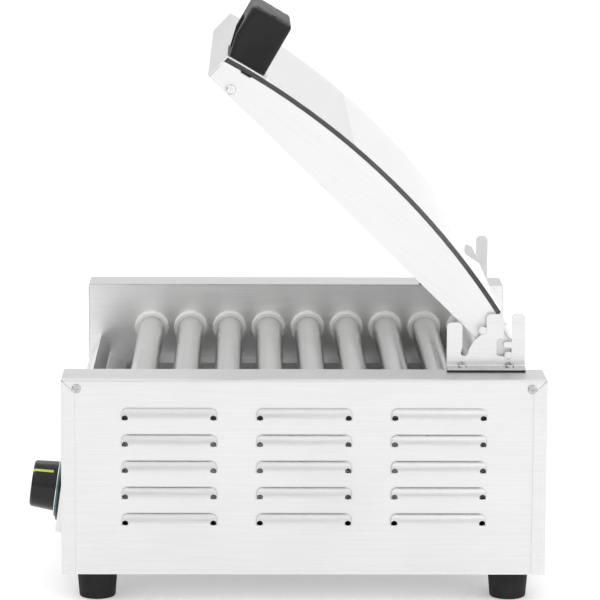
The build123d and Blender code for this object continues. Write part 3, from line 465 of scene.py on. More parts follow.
@dataclass(frozen=True)
class ClearSheet(Finish):
    """Clear curved glass: almost unseen on its faces, dark grey where its cut edges show."""

    face: tuple[float, float, float] = (0.99, 0.995, 0.995)
    edge: tuple[float, float, float] = (0.16, 0.17, 0.17)
    index: float = 1.46
    marks: float = 0.6
    wiped_rough: float = 0.04
    edge_rough: float = 0.4

    def wire(self, tools: NodeTree, shader: bpy.types.Node, place: bpy.types.NodeSocket) -> None:
        """Wire the edge tint, and faint wiping marks in the roughness."""
        shader.inputs["Transmission Weight"].default_value = 1.0
        shader.inputs["Metallic"].default_value = 0.0
        shader.inputs["IOR"].default_value = self.index
        parts = tools.add("ShaderNodeSeparateXYZ")
        tools.join(tools.add("ShaderNodeTexCoord").outputs["Normal"], parts.inputs[0])
        sides = tools.span(tools.maths("ABSOLUTE", parts.outputs["X"]), 0.6, 0.9)
        ends = tools.maths("MULTIPLY", parts.outputs["Y"], parts.outputs["Z"])
        across = tools.maths("MAXIMUM", sides, tools.span(ends, -0.3, -0.15, 1.0, 0.0))
        tools.join(tools.blend(across, self.face, self.edge), shader.inputs["Base Color"])
        marks = HANDLING.place(tools, place, Amount=self.marks)
        wiped = tools.span(marks.outputs["Smudge"], 0.0, 1.0, 0.0, self.wiped_rough)
        ground = tools.maths("MULTIPLY", across, self.edge_rough)
        tools.join(tools.maths("ADD", wiped, ground), shader.inputs["Roughness"])


@dataclass(frozen=True)
class LampLens(Finish):
    """Amber lens of the indicator lamp, with fine moulded prisms."""

    colour: tuple[float, float, float] = (0.85, 0.24, 0.03)
    rough: tuple[float, float] = (0.12, 0.22)
    shade: float = 0.6
    milkiness: float = 0.3
    light_reach: float = 0.003
    coat: float = 0.8
    prism_pitch: float = 700.0
    depth: float = 0.4
    bump_height: float = 0.0002

    def wire(self, tools: NodeTree, shader: bpy.types.Node, place: bpy.types.NodeSocket) -> None:
        """Wire the prisms of the lens."""
        shader.inputs["Subsurface Weight"].default_value = self.milkiness
        shader.inputs["Subsurface Scale"].default_value = self.light_reach
        shader.inputs["Coat Weight"].default_value = self.coat
        texture = MOULDING.place(tools, place, Pitch=self.prism_pitch, Depth=1.0)
        deep = tuple(value * self.shade for value in self.colour)
        tools.join(tools.blend(texture.outputs["Tone"], deep, self.colour), shader.inputs["Base Color"])
        tools.join(tools.span(texture.outputs["Tone"], 0.0, 1.0, *self.rough), shader.inputs["Roughness"])
        self.bump(tools, shader, texture.outputs["Height"], self.depth, self.bump_height)


@dataclass(frozen=True)
class HeaterOxide(Finish):
    """Heating rod sheath, browned and blued by heat."""

    brown: tuple[float, float, float] = (0.16, 0.11, 0.08)
    blue: tuple[float, float, float] = (0.2, 0.21, 0.25)
    rough: tuple[float, float] = (0.45, 0.62)
    metal: float = 0.8
    depth: float = 0.25
    bump_height: float = 0.00008

    def wire(self, tools: NodeTree, shader: bpy.types.Node, place: bpy.types.NodeSocket) -> None:
        """Wire the heat colours along the rod."""
        shader.inputs["Metallic"].default_value = self.metal
        cloud = tools.span(tools.noise(place, scale=28.0, detail=4.0, roughness=0.6), 0.35, 0.65)
        tools.join(tools.blend(cloud, self.brown, self.blue), shader.inputs["Base Color"])
        tools.join(tools.span(cloud, 0.0, 1.0, *self.rough), shader.inputs["Roughness"])
        scale_skin = tools.noise(place, scale=1200.0, detail=2.0)
        self.bump(tools, shader, scale_skin, self.depth, self.bump_height)


@dataclass(frozen=True)
class StudioFloor(Finish):
    """Matt pale floor."""

    dark: tuple[float, float, float] = (0.93, 0.93, 0.93)
    light: tuple[float, float, float] = (0.95, 0.95, 0.95)
    rough: float = 0.9
    gloss: float = 0.1
    glow: float = 0.22

    def wire(self, tools: NodeTree, shader: bpy.types.Node, place: bpy.types.NodeSocket) -> None:
        """Wire a faint paper tone."""
        cloud = tools.noise(place, scale=3.0, detail=3.0)
        tools.join(tools.blend(cloud, self.dark, self.light), shader.inputs["Base Color"])
        shader.inputs["Roughness"].default_value = self.rough
        shader.inputs["Specular IOR Level"].default_value = self.gloss
        shader.inputs["Emission Color"].default_value = (1.0, 1.0, 1.0, 1.0)
        shader.inputs["Emission Strength"].default_value = self.glow


PANEL_STEEL = BrushedMetal("brushed_sheet_along_y")
FRONT_STEEL = BrushedMetal(
    "brushed_sheet_along_x", grain=Grain.ALONG_X, dark=(0.7, 0.7, 0.697), light=(0.8, 0.8, 0.797)
)
# Lighter copy of the panel steel: painted light that brightens the shaded inner walls and roller ledges.
WALL_STEEL_PAINTED_LIGHT = BrushedMetal(
    "brushed_inner_wall_painted_light", dark=(0.84, 0.84, 0.84), light=(0.94, 0.94, 0.935), rough=(0.28, 0.38), depth=0.2
)
LID_STEEL = BrushedMetal(
    "brushed_lid_sheet",
    grain=Grain.ALONG_LID,
    dark=(0.77, 0.77, 0.767),
    light=(0.85, 0.85, 0.847),
    rough=(0.5, 0.6),
    depth=0.15,
)
BRACKET_STEEL = BrushedMetal(
    "bracket_sheet", dark=(0.6, 0.6, 0.6), light=(0.76, 0.76, 0.757), rough=(0.18, 0.28), depth=0.15
)
TUBE_STEEL = BrushedMetal(
    "ground_roller_tube",
    grain=Grain.AROUND_X,
    dark=(0.6, 0.6, 0.595),
    light=(0.74, 0.74, 0.735),
    rough=(0.12, 0.22),
    depth=0.2,
)
ZINC = BrushedMetal(
    "zinc_plate",
    grain=Grain.NONE,
    dark=(0.42, 0.43, 0.44),
    light=(0.6, 0.61, 0.62),
    rough=(0.25, 0.42),
    depth=0.1,
)
CHAIN_STEEL = BrushedMetal(
    "oiled_chain",
    grain=Grain.NONE,
    dark=(0.22, 0.21, 0.2),
    light=(0.4, 0.39, 0.37),
    rough=(0.22, 0.4),
    depth=0.15,
)
BRIGHT_SCREW = BrushedMetal(
    "bright_screw",
    grain=Grain.NONE,
    dark=(0.74, 0.74, 0.74),
    light=(0.86, 0.86, 0.86),
    rough=(0.2, 0.3),
    depth=0.1,
)
SILVER_TRIM = BrushedMetal(
    "silver_trim",
    grain=Grain.AROUND_X,
    dark=(0.72, 0.74, 0.75),
    light=(0.86, 0.88, 0.9),
    rough=(0.12, 0.22),
    depth=0.1,
)
WHITE_RINGS = Moulding(
    "heat_proof_rings",
    colour=(0.84, 0.835, 0.81),
    worn=(0.75, 0.745, 0.71),
    rough=(0.38, 0.5),
    pitch=900.0,
    depth=0.12,
    dust=0.1,
)
GLOSS_BLACK = Moulding(
    "gloss_black_moulding",
    colour=(0.006, 0.006, 0.007),
    worn=(0.02, 0.02, 0.022),
    rough=(0.16, 0.26),
    pitch=500.0,
    depth=0.04,
    dust=0.08,
    coat=0.1,
    gloss=0.3,
)
HANDLE_BLACK = Moulding(
    "handle_moulding",
    colour=(0.009, 0.009, 0.009),
    worn=(0.24, 0.24, 0.24),
    rough=(0.4, 0.5),
    pitch=1400.0,
    depth=0.35,
    dust=0.85,
    gloss=0.25,
    drift=0.015,
)
RUBBER = Moulding(
    "foot_rubber",
    colour=(0.011, 0.011, 0.011),
    worn=(0.035, 0.035, 0.035),
    rough=(0.6, 0.75),
    pitch=800.0,
    depth=0.3,
    dust=0.3,
    gloss=0.25,
)
LIME = Moulding(
    "lime_inlay",
    colour=(0.62, 0.68, 0.08),
    worn=(0.52, 0.58, 0.08),
    rough=(0.3, 0.42),
    pitch=900.0,
    depth=0.1,
    dust=0.0,
    coat=0.2,
)
TEAL = Moulding(
    "teal_dial",
    colour=(0.01, 0.17, 0.16),
    worn=(0.02, 0.2, 0.19),
    rough=(0.25, 0.36),
    pitch=900.0,
    depth=0.08,
    dust=0.05,
    coat=0.4,
)
MARKS = Moulding(
    "dial_marks",
    colour=(0.8, 0.82, 0.8),
    worn=(0.7, 0.72, 0.7),
    rough=(0.4, 0.5),
    pitch=900.0,
    depth=0.05,
    dust=0.0,
)
MOTOR_GREY = Enamel("motor_enamel")
GLASS = ClearSheet("lid_glass_sheet")
AMBER = LampLens("amber_lens")
OXIDE = HeaterOxide("heater_oxide")

SLOT_FINISHES: dict[str, Finish] = {
    "stainless": PANEL_STEEL,
    "roller_steel": TUBE_STEEL,
    "zinc_steel": ZINC,
    "motor_paint": MOTOR_GREY,
    "white_ptfe": WHITE_RINGS,
    "black_plastic": GLOSS_BLACK,
    "black_handle": HANDLE_BLACK,
    "black_rubber": RUBBER,
    "lime": LIME,
    "teal": TEAL,
    "amber": AMBER,
    "clear_glass": GLASS,
}

NODE_FINISHES: dict[str, Finish] = {
    "front_panel": FRONT_STEEL,
    "rear_panel": FRONT_STEEL,
    "base_plate": FRONT_STEEL,
    "drip_tray": FRONT_STEEL,
    "front_strip": FRONT_STEEL,
    "rear_strip": FRONT_STEEL,
    "inner_wall_left": WALL_STEEL_PAINTED_LIGHT,
    "inner_wall_right": WALL_STEEL_PAINTED_LIGHT,
    "roller_ledges": WALL_STEEL_PAINTED_LIGHT,
    "lid_plate_left": LID_STEEL,
    "lid_plate_right": LID_STEEL,
    "lid_bracket_left": BRACKET_STEEL,
    "lid_bracket_right": BRACKET_STEEL,
    "drive_chain": CHAIN_STEEL,
    "heater_rods": OXIDE,
    "lid_screws": BRIGHT_SCREW,
}


class Bench:
    """Modelling bench: primitives, edit-mode steps and modifiers, each on one piece."""

    @staticmethod
    def clear() -> None:
        """Deselect everything."""
        if bpy.context.object and bpy.context.object.mode != "OBJECT":
            bpy.ops.object.mode_set(mode="OBJECT")
        bpy.ops.object.select_all(action="DESELECT")

    @classmethod
    def hold(cls, piece: bpy.types.Object) -> None:
        """Make one piece the only one selected and active."""
        cls.clear()
        piece.select_set(True)
        bpy.context.view_layer.objects.active = piece

    @classmethod
    def block(cls, name: str, low: Sequence[float], high: Sequence[float]) -> bpy.types.Object:
        """Start a piece from a cube between two corners.

        Args:
            name: Name of the piece.
            low: Lowest corner, in metres.
            high: Highest corner, in metres.

        Returns:
            The new object, at the origin.
        """
        cls.clear()
        middle = [(a + b) / 2 for a, b in zip(low, high)]
        bpy.ops.mesh.primitive_cube_add(size=1.0, location=middle, scale=[b - a for a, b in zip(low, high)])
        return cls.settle(name)

    @classmethod
    def disc(cls, name: str, radius: float, sides: int) -> bpy.types.Object:
        """Start a piece from a flat ring of points facing up.

        Args:
            name: Name of the piece.
            radius: Radius in metres.
            sides: How many points.

        Returns:
            The new object, a filled circle at the origin.
        """
        cls.clear()
        bpy.ops.mesh.primitive_circle_add(vertices=sides, radius=radius, fill_type="NGON")
        return cls.settle(name)

    @classmethod
    def settle(cls, name: str) -> bpy.types.Object:
        """Name the active object and put its place into its mesh.

        Args:
            name: Name of the piece.

        Returns:
            The object, at the origin.
        """
        piece = bpy.context.object
        piece.name = name
        piece.data.name = name
        bpy.ops.object.transform_apply(location=True, rotation=True, scale=True)
        return piece

    @classmethod
    def pick(cls, piece: bpy.types.Object, mode: str, test: Callable[[Vector, Vector], bool]) -> None:
        """Select faces or edges by place, and leave the piece in edit mode.

        Args:
            piece: Piece to work on.
            mode: FACE or EDGE.
            test: Takes the middle and the direction or normal, and says whether to select.
        """
        cls.hold(piece)
        bpy.ops.object.mode_set(mode="EDIT")
        bpy.ops.mesh.select_mode(type=mode)
        bpy.ops.mesh.select_all(action="DESELECT")
        bpy.ops.object.mode_set(mode="OBJECT")
        mesh = piece.data
        if mode == "FACE":
            for face in mesh.polygons:
                face.select = test(face.center, face.normal)
        else:
            for edge in mesh.edges:
                a, b = (mesh.vertices[i].co for i in edge.vertices)
                edge.select = test((a + b) / 2, (b - a).normalized())
        bpy.ops.object.mode_set(mode="EDIT")

    @classmethod
    def done(cls) -> None:
        """Leave edit mode."""
        bpy.ops.object.mode_set(mode="OBJECT")

    @classmethod
    def cut(cls, piece: bpy.types.Object, tool: bpy.types.Object) -> None:
        """Cut one shape out of another and throw the tool away.

        Args:
            piece: Piece that is cut.
            tool: Shape that cuts it.
        """
        cls.hold(piece)
        step = piece.modifiers.new("cut", "BOOLEAN")
        step.operation = "DIFFERENCE"
        step.solver = "EXACT"
        step.object = tool
        bpy.ops.object.modifier_apply(modifier=step.name)
        bpy.data.objects.remove(tool)

    @classmethod
    def soften(cls, piece: bpy.types.Object, width: float, segments: int = 2, angle: float = 40.0) -> None:
        """Round every sharp edge of a piece.

        Args:
            piece: Piece to round.
            width: Width of the rounding, in metres.
            segments: Steps across it.
            angle: Edges sharper than this are rounded, in degrees.
        """
        cls.hold(piece)
        step = piece.modifiers.new("soften", "BEVEL")
        step.width = width
        step.segments = segments
        step.limit_method = "ANGLE"
        step.angle_limit = math.radians(angle)
        bpy.ops.object.modifier_apply(modifier=step.name)
        bpy.ops.object.shade_smooth_by_angle(angle=math.radians(SMOOTH_ANGLE))

    @classmethod
    def outward(cls, piece: bpy.types.Object) -> None:
        """Merge doubled points and turn every face outward."""
        cls.hold(piece)
        bpy.ops.object.mode_set(mode="EDIT")
        bpy.ops.mesh.select_all(action="SELECT")
        bpy.ops.mesh.remove_doubles(threshold=DOUBLES)
        bpy.ops.mesh.normals_make_consistent(inside=False)
        bpy.ops.object.mode_set(mode="OBJECT")

    @classmethod
    def merge(cls, name: str, pieces: Sequence[bpy.types.Object]) -> bpy.types.Object:
        """Join several objects into one.

        Args:
            name: Name of the joined piece.
            pieces: Objects to join.

        Returns:
            The joined piece.
        """
        cls.hold(pieces[0])
        for piece in pieces[1:]:
            piece.select_set(True)
        bpy.ops.object.join()
        made = bpy.context.object
        made.name = name
        made.data.name = name
        return made


def finish_piece(piece: bpy.types.Object, finish: Finish, slot: str, body: str, *nodes: str) -> None:
    """Give a new piece its finish and body, and report it.

    Args:
        piece: The piece, at the origin.
        finish: Its finish.
        slot: The record's material slot; not used.
        body: CAD body that it rides on.
        *nodes: CAD nodes that it stands for.
    """
    piece.data.materials.clear()
    piece.data.materials.append(finish.material())
    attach(piece, body)
    if nodes:
        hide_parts(*nodes)
    log.info("piece %s on %s: %d faces, finish %s", piece.name, body, len(piece.data.polygons), finish.title)


@dataclass
class LidShape:
    """The glass curve of the lid, from the hinge line, as it lies closed."""

    front: tuple[float, float] = (-0.344, 0.0181)
    rear: tuple[float, float] = (-0.0302, 0.0259)
    crown: float = 0.0197
    hinge: Vector = field(default_factory=lambda: Vector(LidShape.joint()["pos_m"]))
    swing: float = field(default_factory=lambda: -math.radians(LidShape.joint()["range_deg"][1]))

    @staticmethod
    def joint() -> dict:
        """The lid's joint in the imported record."""
        return next(joint for joint in frame["joints"] if joint["name"] == "lid_tilt")

    def arc(self) -> tuple[Vector, float]:
        """Work out the curve.

        Returns:
            Its centre from the hinge, as (y, z), and its radius.
        """
        front = Vector(self.front)
        rear = Vector(self.rear)
        chord = rear - front
        radius = (chord.length ** 2 / 4 + self.crown ** 2) / (2 * self.crown)
        along = chord.normalized()
        centre = (front + rear) / 2 - Vector((-along.y, along.x)) * (radius - self.crown)
        return centre, radius

    def seat(self, x: float, ahead: float, lift: float) -> Matrix:
        """Place on the curve of the raised lid.

        Args:
            x: Place along the grill.
            ahead: Distance ahead of the hinge with the lid closed.
            lift: Height over the glass's lower face.

        Returns:
            A matrix with local Z out of the lid and local Y to the rear.
        """
        centre, radius = self.arc()
        height = centre.y + math.sqrt((radius + lift) ** 2 - (-ahead - centre.x) ** 2)
        out = (Vector((-ahead, height)) - centre).normalized()
        spot = centre + out * (radius + lift)
        tilt = math.atan2(-out.x, out.y)
        closed = Matrix.Translation((x, spot.x, spot.y)) @ Matrix.Rotation(tilt, 4, "X")
        return Matrix.Translation(self.hinge) @ Matrix.Rotation(self.swing, 4, "X") @ closed

    def flat(self, x: float, ahead: float, above: float) -> Matrix:
        """Place on the side of the raised lid, given closed.

        Args:
            x: Place along the grill.
            ahead: Distance ahead of the hinge.
            above: Height over the hinge.

        Returns:
            A matrix that keeps the closed lid's axes, turned with the lid.
        """
        turn = Matrix.Translation(self.hinge) @ Matrix.Rotation(self.swing, 4, "X")
        return turn @ Matrix.Translation((x, -ahead, above))


@dataclass
class Handle:
    """Bow handle near the right end of the lid's front strip, with a grooved front and two screws."""

    lid: LidShape
    x: float = 0.153
    ahead: float = 0.3298
    seat_lift: float = 0.0056
    length: float = 0.100
    width: float = 0.0375
    height: float = 0.047
    leg: float = 0.014
    grip: float = 0.016
    corner: float = 0.004
    panel_inset: float = 0.0034
    panel_depth: float = 0.0014
    groove_width: float = 0.0022
    groove_depth: float = 0.0012
    groove_low: float = 0.014
    groove_top: float = 0.006
    leg_groove_inset: float = 0.007
    grip_groove_gap: float = 0.018
    grip_groove_lift: float = 0.0035
    window_corner: float = 0.009
    seat_gap: float = 0.0003
    lead_in: float = 0.004
    taper_height: float = 0.017
    edge_rounding: float = 0.0006
    screw_inset: float = 0.01
    screw_places: tuple[float, float] = (0.002, 0.011)
    screw_radius: float = 0.0021
    screw_height: float = 0.0006
    screw_rim: float = 0.0008
    screw_dish: float = 0.0003
    screw_sink: float = 0.0002

    def build(self) -> bpy.types.Object:
        """Model the moulding in its own frame.

        Returns:
            The handle, seated on the raised lid.
        """
        half = (self.length / 2, self.width / 2)
        body = Bench.block("lid_handle_moulding", (-half[0], -half[1], 0.0), (half[0], half[1], self.height))
        Bench.pick(body, "EDGE", lambda at, way: abs(way.z) > 0.9 or (at.z > self.height - HAIR))
        bpy.ops.mesh.bevel(offset=self.corner, segments=4, affect="EDGES")
        Bench.done()
        self.taper(body)
        Bench.pick(body, "FACE", lambda at, way: abs(way.x) > 0.99)
        bpy.ops.mesh.inset(thickness=self.panel_inset, depth=-self.panel_depth)
        Bench.done()
        inner = half[0] - self.leg
        under = self.height - self.grip
        window = Bench.block("window", (-inner, -self.width, -0.01), (inner, self.width, under))
        Bench.pick(window, "EDGE", lambda at, way: abs(way.y) > 0.9 and at.z > under - HAIR)
        bpy.ops.mesh.bevel(offset=self.window_corner, segments=5, affect="EDGES")
        Bench.done()
        Bench.cut(body, window)
        for x in (-half[0] + self.leg_groove_inset, half[0] - self.leg_groove_inset):
            self.groove(body, x, self.groove_low)
        for x in (-self.grip_groove_gap, 0.0, self.grip_groove_gap):
            self.groove(body, x, under + self.grip_groove_lift)
        Bench.soften(body, self.edge_rounding, 2, 35.0)
        Bench.outward(body)
        body.data.transform(self.lid.seat(self.x, self.ahead, self.seat_lift + self.seat_gap))
        return body

    def taper(self, body: bpy.types.Object) -> None:
        """Draw the foot's front edge in, as the moulding narrows to its seat.

        Args:
            body: The handle, still a plain bevelled block.
        """
        Bench.hold(body)
        bpy.ops.object.mode_set(mode="EDIT")
        bpy.ops.mesh.select_all(action="SELECT")
        bpy.ops.mesh.bisect(plane_co=(0.0, 0.0, self.taper_height), plane_no=(0.0, 0.0, 1.0))
        bpy.ops.object.mode_set(mode="OBJECT")
        for point in body.data.vertices:
            if point.co.z < HAIR:
                share = (point.co.y - self.width / 2) / -self.width
                point.co.y += self.lead_in * max(0.0, share) ** 2

    def groove(self, body: bpy.types.Object, x: float, low: float) -> None:
        """Cut one upright groove in the front.

        Args:
            body: The handle.
            x: Middle of the groove.
            low: Lower end of the groove.
        """
        front = -self.width / 2
        tool = Bench.block(
            "groove",
            (x - self.groove_width / 2, front - 0.002, low),
            (x + self.groove_width / 2, front + self.groove_depth, self.height - self.groove_top),
        )
        Bench.soften(tool, 0.0005, 2)
        Bench.cut(body, tool)

    def dress(self, body: bpy.types.Object) -> None:
        """Finish the handle and set its two screws in its top."""
        finish_piece(body, HANDLE_BLACK, "black_handle", "lid", "lid_handle")
        caps = []
        for across in self.screw_places:
            cap = Bench.disc("cap", self.screw_radius, 20)
            Bench.pick(cap, "FACE", lambda at, way: True)
            bpy.ops.mesh.extrude_region_move(TRANSFORM_OT_translate={"value": (0.0, 0.0, self.screw_height)})
            bpy.ops.mesh.inset(thickness=self.screw_rim, depth=-self.screw_dish)
            Bench.done()
            Bench.outward(cap)
            Bench.soften(cap, 0.0001, 2)
            along = self.x - self.length / 2 + self.screw_inset
            seat = self.lid.seat(along, self.ahead, self.seat_lift + self.seat_gap)
            cap.data.transform(seat @ Matrix.Translation((0.0, across, self.height - self.screw_sink)))
            caps.append(cap)
        finish_piece(Bench.merge("handle_screw_caps", caps), SILVER_TRIM, "zinc_steel", "lid")


@dataclass
class LidTrim:
    """Small things on the lid: a cup washer and a glazing pad at each end."""

    lid: LidShape
    side_x: float = 0.213
    cup_radius: float = 0.0056
    cup_height: float = 0.0009
    cup_ahead: float = 0.324
    cup_above: float = 0.0056
    cup_rim: float = 0.0012
    cup_dish: float = 0.0008
    pad_low: tuple[float, float, float] = (-0.0007, -0.005, -0.0012)
    pad_high: tuple[float, float, float] = (0.0007, 0.005, 0.0008)
    pad_corner: float = 0.0011
    pad_out: float = 0.0002

    def cup(self, side: Side) -> bpy.types.Object:
        """Cup washer round the screw in a side plate.

        Args:
            side: Which end of the lid.

        Returns:
            The washer on that side plate.
        """
        ring = Bench.disc("side_cup_%s" % side.name.lower(), self.cup_radius, 40)
        Bench.pick(ring, "FACE", lambda at, way: True)
        bpy.ops.mesh.extrude_region_move(TRANSFORM_OT_translate={"value": (0.0, 0.0, self.cup_height * 0.4)})
        bpy.ops.mesh.inset(thickness=self.cup_rim, depth=self.cup_height * 0.6)
        bpy.ops.mesh.inset(thickness=self.cup_dish, depth=-self.cup_height * 0.7)
        Bench.done()
        Bench.outward(ring)
        Bench.soften(ring, 0.0002, 2, 20.0)
        turn = Matrix.Rotation(math.radians(90.0 * side.value), 4, "Y")
        ring.data.transform(self.lid.flat(side.value * self.side_x, self.cup_ahead, self.cup_above) @ turn)
        return ring

    def pad(self, side: Side) -> bpy.types.Object:
        """Rubber glazing pad between the glass edge and the side plate.

        Args:
            side: Which end of the lid.

        Returns:
            The pad on that edge.
        """
        pad = Bench.block("glazing_pad_%s" % side.name.lower(), self.pad_low, self.pad_high)
        Bench.pick(pad, "EDGE", lambda at, way: abs(way.x) > 0.9 and at.z < 0.0)
        bpy.ops.mesh.bevel(offset=self.pad_corner, segments=3, affect="EDGES")
        Bench.done()
        Bench.soften(pad, 0.00025, 2)
        pad.data.transform(self.lid.seat(side.value * (self.side_x + self.pad_out), self.cup_ahead, 0.0))
        return pad

    def build(self) -> list[bpy.types.Object]:
        """Model the trim of both sides.

        Returns:
            Cup washers, then glazing pads.
        """
        cups = [self.cup(side) for side in Side]
        pads = [self.pad(side) for side in Side]
        return cups + pads

    def dress(self, pieces: Sequence[bpy.types.Object]) -> None:
        """Finish each piece of trim."""
        for piece in pieces:
            if piece.name.startswith("side_cup"):
                finish_piece(piece, LID_STEEL, "stainless", "lid")
            else:
                finish_piece(piece, RUBBER, "black_rubber", "lid")


@dataclass
class Dial:
    """Scale of the thermostat: raised ticks, and a bright trim ring on the bezel."""

    tick_count: int = 9
    sweep: float = 270.0
    tick_width: float = 0.0007
    tick_length: float = 0.0022
    tick_height: float = 0.0002
    tick_middle: float = 0.0224
    trim_outer: float = 0.0254
    trim_inner: float = 0.0232
    trim_height: float = 0.0009
    tilt: float = math.radians(7.832)

    def seat(self) -> Matrix:
        """Place on the dial's face.

        Returns:
            A matrix with local Z out of the dial, to the front, and local Y up.
        """
        low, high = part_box("dial_ring")
        joint = next(j for j in frame["joints"] if j["name"] == "knob_turn")
        out = Vector((0.0, -math.cos(self.tilt), math.sin(self.tilt)))
        middle = (low + high) / 2
        pivot = Vector(joint["pos_m"])
        top = Vector((middle.x, low.y + math.sin(self.tilt) * (high.z - low.z), high.z))
        bottom = Vector((middle.x, low.y, low.z))
        reach = max((corner - pivot).dot(out) for corner in (top, bottom))
        base = pivot + out * reach
        across = Vector((1.0, 0.0, 0.0))
        up = out.cross(across)
        turn = Matrix((across, up, out)).transposed().to_4x4()
        return Matrix.Translation(base) @ turn

    def tick(self, angle: float) -> bpy.types.Object:
        """One raised tick.

        Args:
            angle: Degrees clockwise from the top.

        Returns:
            The tick.
        """
        start = self.tick_middle - self.tick_length / 2
        mark = Bench.block(
            "tick",
            (-self.tick_width / 2, start, 0.0),
            (self.tick_width / 2, start + self.tick_length, self.tick_height),
        )
        Bench.soften(mark, 0.00006, 1)
        mark.data.transform(Matrix.Rotation(-math.radians(angle), 4, "Z"))
        return mark

    def trim(self) -> bpy.types.Object:
        """Bright ring round the dial.

        Returns:
            The ring.
        """
        ring = Bench.disc("dial_trim", self.trim_outer, 96)
        Bench.pick(ring, "FACE", lambda at, way: True)
        bpy.ops.mesh.inset(thickness=self.trim_outer - self.trim_inner)
        bpy.ops.mesh.delete(type="FACE")
        bpy.ops.mesh.select_all(action="SELECT")
        bpy.ops.mesh.extrude_region_move(TRANSFORM_OT_translate={"value": (0.0, 0.0, self.trim_height)})
        Bench.done()
        Bench.outward(ring)
        Bench.soften(ring, 0.0003, 3)
        return ring

    def build(self) -> list[bpy.types.Object]:
        """Model the scale and the trim on the dial.

        Returns:
            The ticks as one piece, and the trim.
        """
        step = self.sweep / (self.tick_count - 1)
        ticks = [self.tick(-self.sweep / 2 + step * count) for count in range(self.tick_count)]
        scale = Bench.merge("dial_scale", ticks)
        trim = self.trim()
        for piece in (scale, trim):
            piece.data.transform(self.seat())
        return [scale, trim]

    def dress(self, pieces: Sequence[bpy.types.Object]) -> None:
        """Finish the scale and the trim."""
        finish_piece(pieces[0], MARKS, "white_ptfe", "base")
        finish_piece(pieces[1], SILVER_TRIM, "zinc_steel", "base")


@dataclass
class CadDress:
    """Finishes for every CAD node that still shows."""

    def dress(self) -> None:
        """Give each CAD node the finish of its slot, or its own."""
        slots = {part["node"]: part["material_slot"] for part in frame["record"]["subparts"]}
        for name, node in sorted(frame["nodes"].items()):
            finish = NODE_FINISHES.get(name) or SLOT_FINISHES[slots[name]]
            node.data.materials.clear()
            node.data.materials.append(finish.material())
            log.info("node %s: finish %s", name, finish.title)


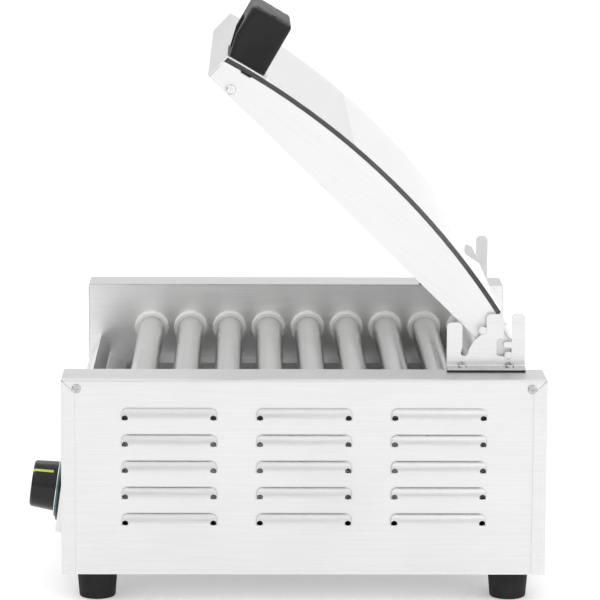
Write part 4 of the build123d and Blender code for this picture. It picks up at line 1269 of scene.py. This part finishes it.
@dataclass
class Studio:
    """Pale floor, soft lights and the camera."""

    floor_reach: float = 30.0
    eye: tuple[float, float, float] = (2.85757, -0.03192, 0.7128)
    yaw: float = -0.0168
    pitch: float = 0.1722
    roll: float = 0.0052
    lens: float = 191.6
    world_tone: float = 1.0
    horizon_tone: float = 0.62
    band_top: float = 0.1
    band_fade: float = 0.05
    flag_depth: float = 0.9
    sky_rise: tuple[float, float] = (0.12, 0.5)
    flag_top: tuple[float, float] = (0.25, 0.55)
    flag_side: tuple[float, float] = (0.72, 0.95)
    sensor: float = 36.0
    sight: float = 100.0

    def floor(self) -> None:
        """Lay the floor under the feet."""
        Bench.clear()
        bpy.ops.mesh.primitive_grid_add(x_subdivisions=4, y_subdivisions=4, size=2 * self.floor_reach)
        plane = Bench.settle("studio_floor")
        plane.data.materials.append(StudioFloor("pale_floor").material())
        log.info("floor %s laid", plane.name)

    def world(self) -> None:
        """Light the room from above, greyer over the horizon and darker low down in front and behind."""
        world = bpy.data.worlds.new("studio")
        bpy.context.scene.world = world
        world.use_nodes = True
        tools = NodeTree(world.node_tree)
        back = world.node_tree.nodes["Background"]
        parts = tools.add("ShaderNodeSeparateXYZ")
        tools.join(tools.add("ShaderNodeTexCoord").outputs["Generated"], parts.inputs[0])
        height = tools.span(parts.outputs["Z"], *self.sky_rise, self.horizon_tone, self.world_tone)
        low = tools.span(parts.outputs["Z"], *self.flag_top, 1.0, 0.0)
        side = tools.span(tools.maths("ABSOLUTE", parts.outputs["Y"]), *self.flag_side)
        fade_end = self.band_top + self.band_fade
        band = tools.span(parts.outputs["Z"], self.band_top, fade_end, self.world_tone, 0.0)
        shade = tools.maths("MULTIPLY", tools.maths("MULTIPLY", side, low), self.flag_depth)
        flag = tools.maths("SUBTRACT", 1.0, shade)
        strength = tools.maths("MULTIPLY", tools.maths("MAXIMUM", height, band), flag)
        tools.join(strength, back.inputs["Strength"])
        back.inputs["Color"].default_value = (1.0, 1.0, 1.0, 1.0)

    def light(self, name: str, place: Sequence[float], aim: Sequence[float],
              size: Sequence[float], power: float) -> None:
        """Hang one soft box.

        Args:
            name: Name of the light.
            place: Where it hangs.
            aim: The point that it faces.
            size: Its width and height.
            power: Its power in watts.
        """
        lamp = bpy.data.lights.new(name, "AREA")
        lamp.shape = "RECTANGLE"
        lamp.size, lamp.size_y = size
        lamp.energy = power
        box = bpy.data.objects.new(name, lamp)
        box.location = place
        way = Vector(aim) - Vector(place)
        box.rotation_euler = way.to_track_quat("-Z", "Y").to_euler()
        bpy.context.scene.collection.objects.link(box)

    def camera(self) -> None:
        """Stand the camera at the right end, a little above the rollers."""
        flat = math.cos(self.pitch)
        ahead = Vector((-math.cos(self.yaw) * flat, -math.sin(self.yaw) * flat, -math.sin(self.pitch)))
        right = Vector((-math.sin(self.yaw), math.cos(self.yaw), 0.0))
        up = right.cross(ahead)
        tilt_right = right * math.cos(self.roll) + up * math.sin(self.roll)
        tilt_up = up * math.cos(self.roll) - right * math.sin(self.roll)
        view = bpy.data.cameras.new("view")
        view.lens = self.lens
        view.sensor_width = self.sensor
        view.clip_end = self.sight
        eye = bpy.data.objects.new("view", view)
        turn = Matrix((tilt_right, tilt_up, -ahead)).transposed().to_4x4()
        eye.matrix_world = Matrix.Translation(self.eye) @ turn
        bpy.context.scene.collection.objects.link(eye)
        bpy.context.scene.camera = eye

    def build(self) -> None:
        """Set up the whole studio."""
        grill = (0.0, 0.0, 0.2)
        far_wall = (-0.22, 0.1, 0.16)
        self.camera()
        self.floor()
        self.world()
        self.light("key", (0.6, -1.6, 2.4), grill, (1.8, 1.4), 12.0)
        self.light("fill", (2.6, 1.2, 1.8), grill, (1.6, 1.6), 8.0)
        self.light("wall", (1.4, 2.2, 1.1), far_wall, (0.9, 0.9), 9.0)
        self.light("back", (-2.2, 0.3, 2.4), grill, (2.0, 1.0), 6.0)
        bpy.context.scene.view_settings.view_transform = "Standard"
        log.info("studio ready")


def main() -> None:
    """Build the studio and every sub-assembly."""
    Studio().build()
    CadDress().dress()
    lid = LidShape()
    handle = Handle(lid)
    handle.dress(handle.build())
    trim = LidTrim(lid)
    trim.dress(trim.build())
    dial = Dial()
    dial.dress(dial.build())
    log.info("sizes written")


if __name__ == "__main__":
    main()
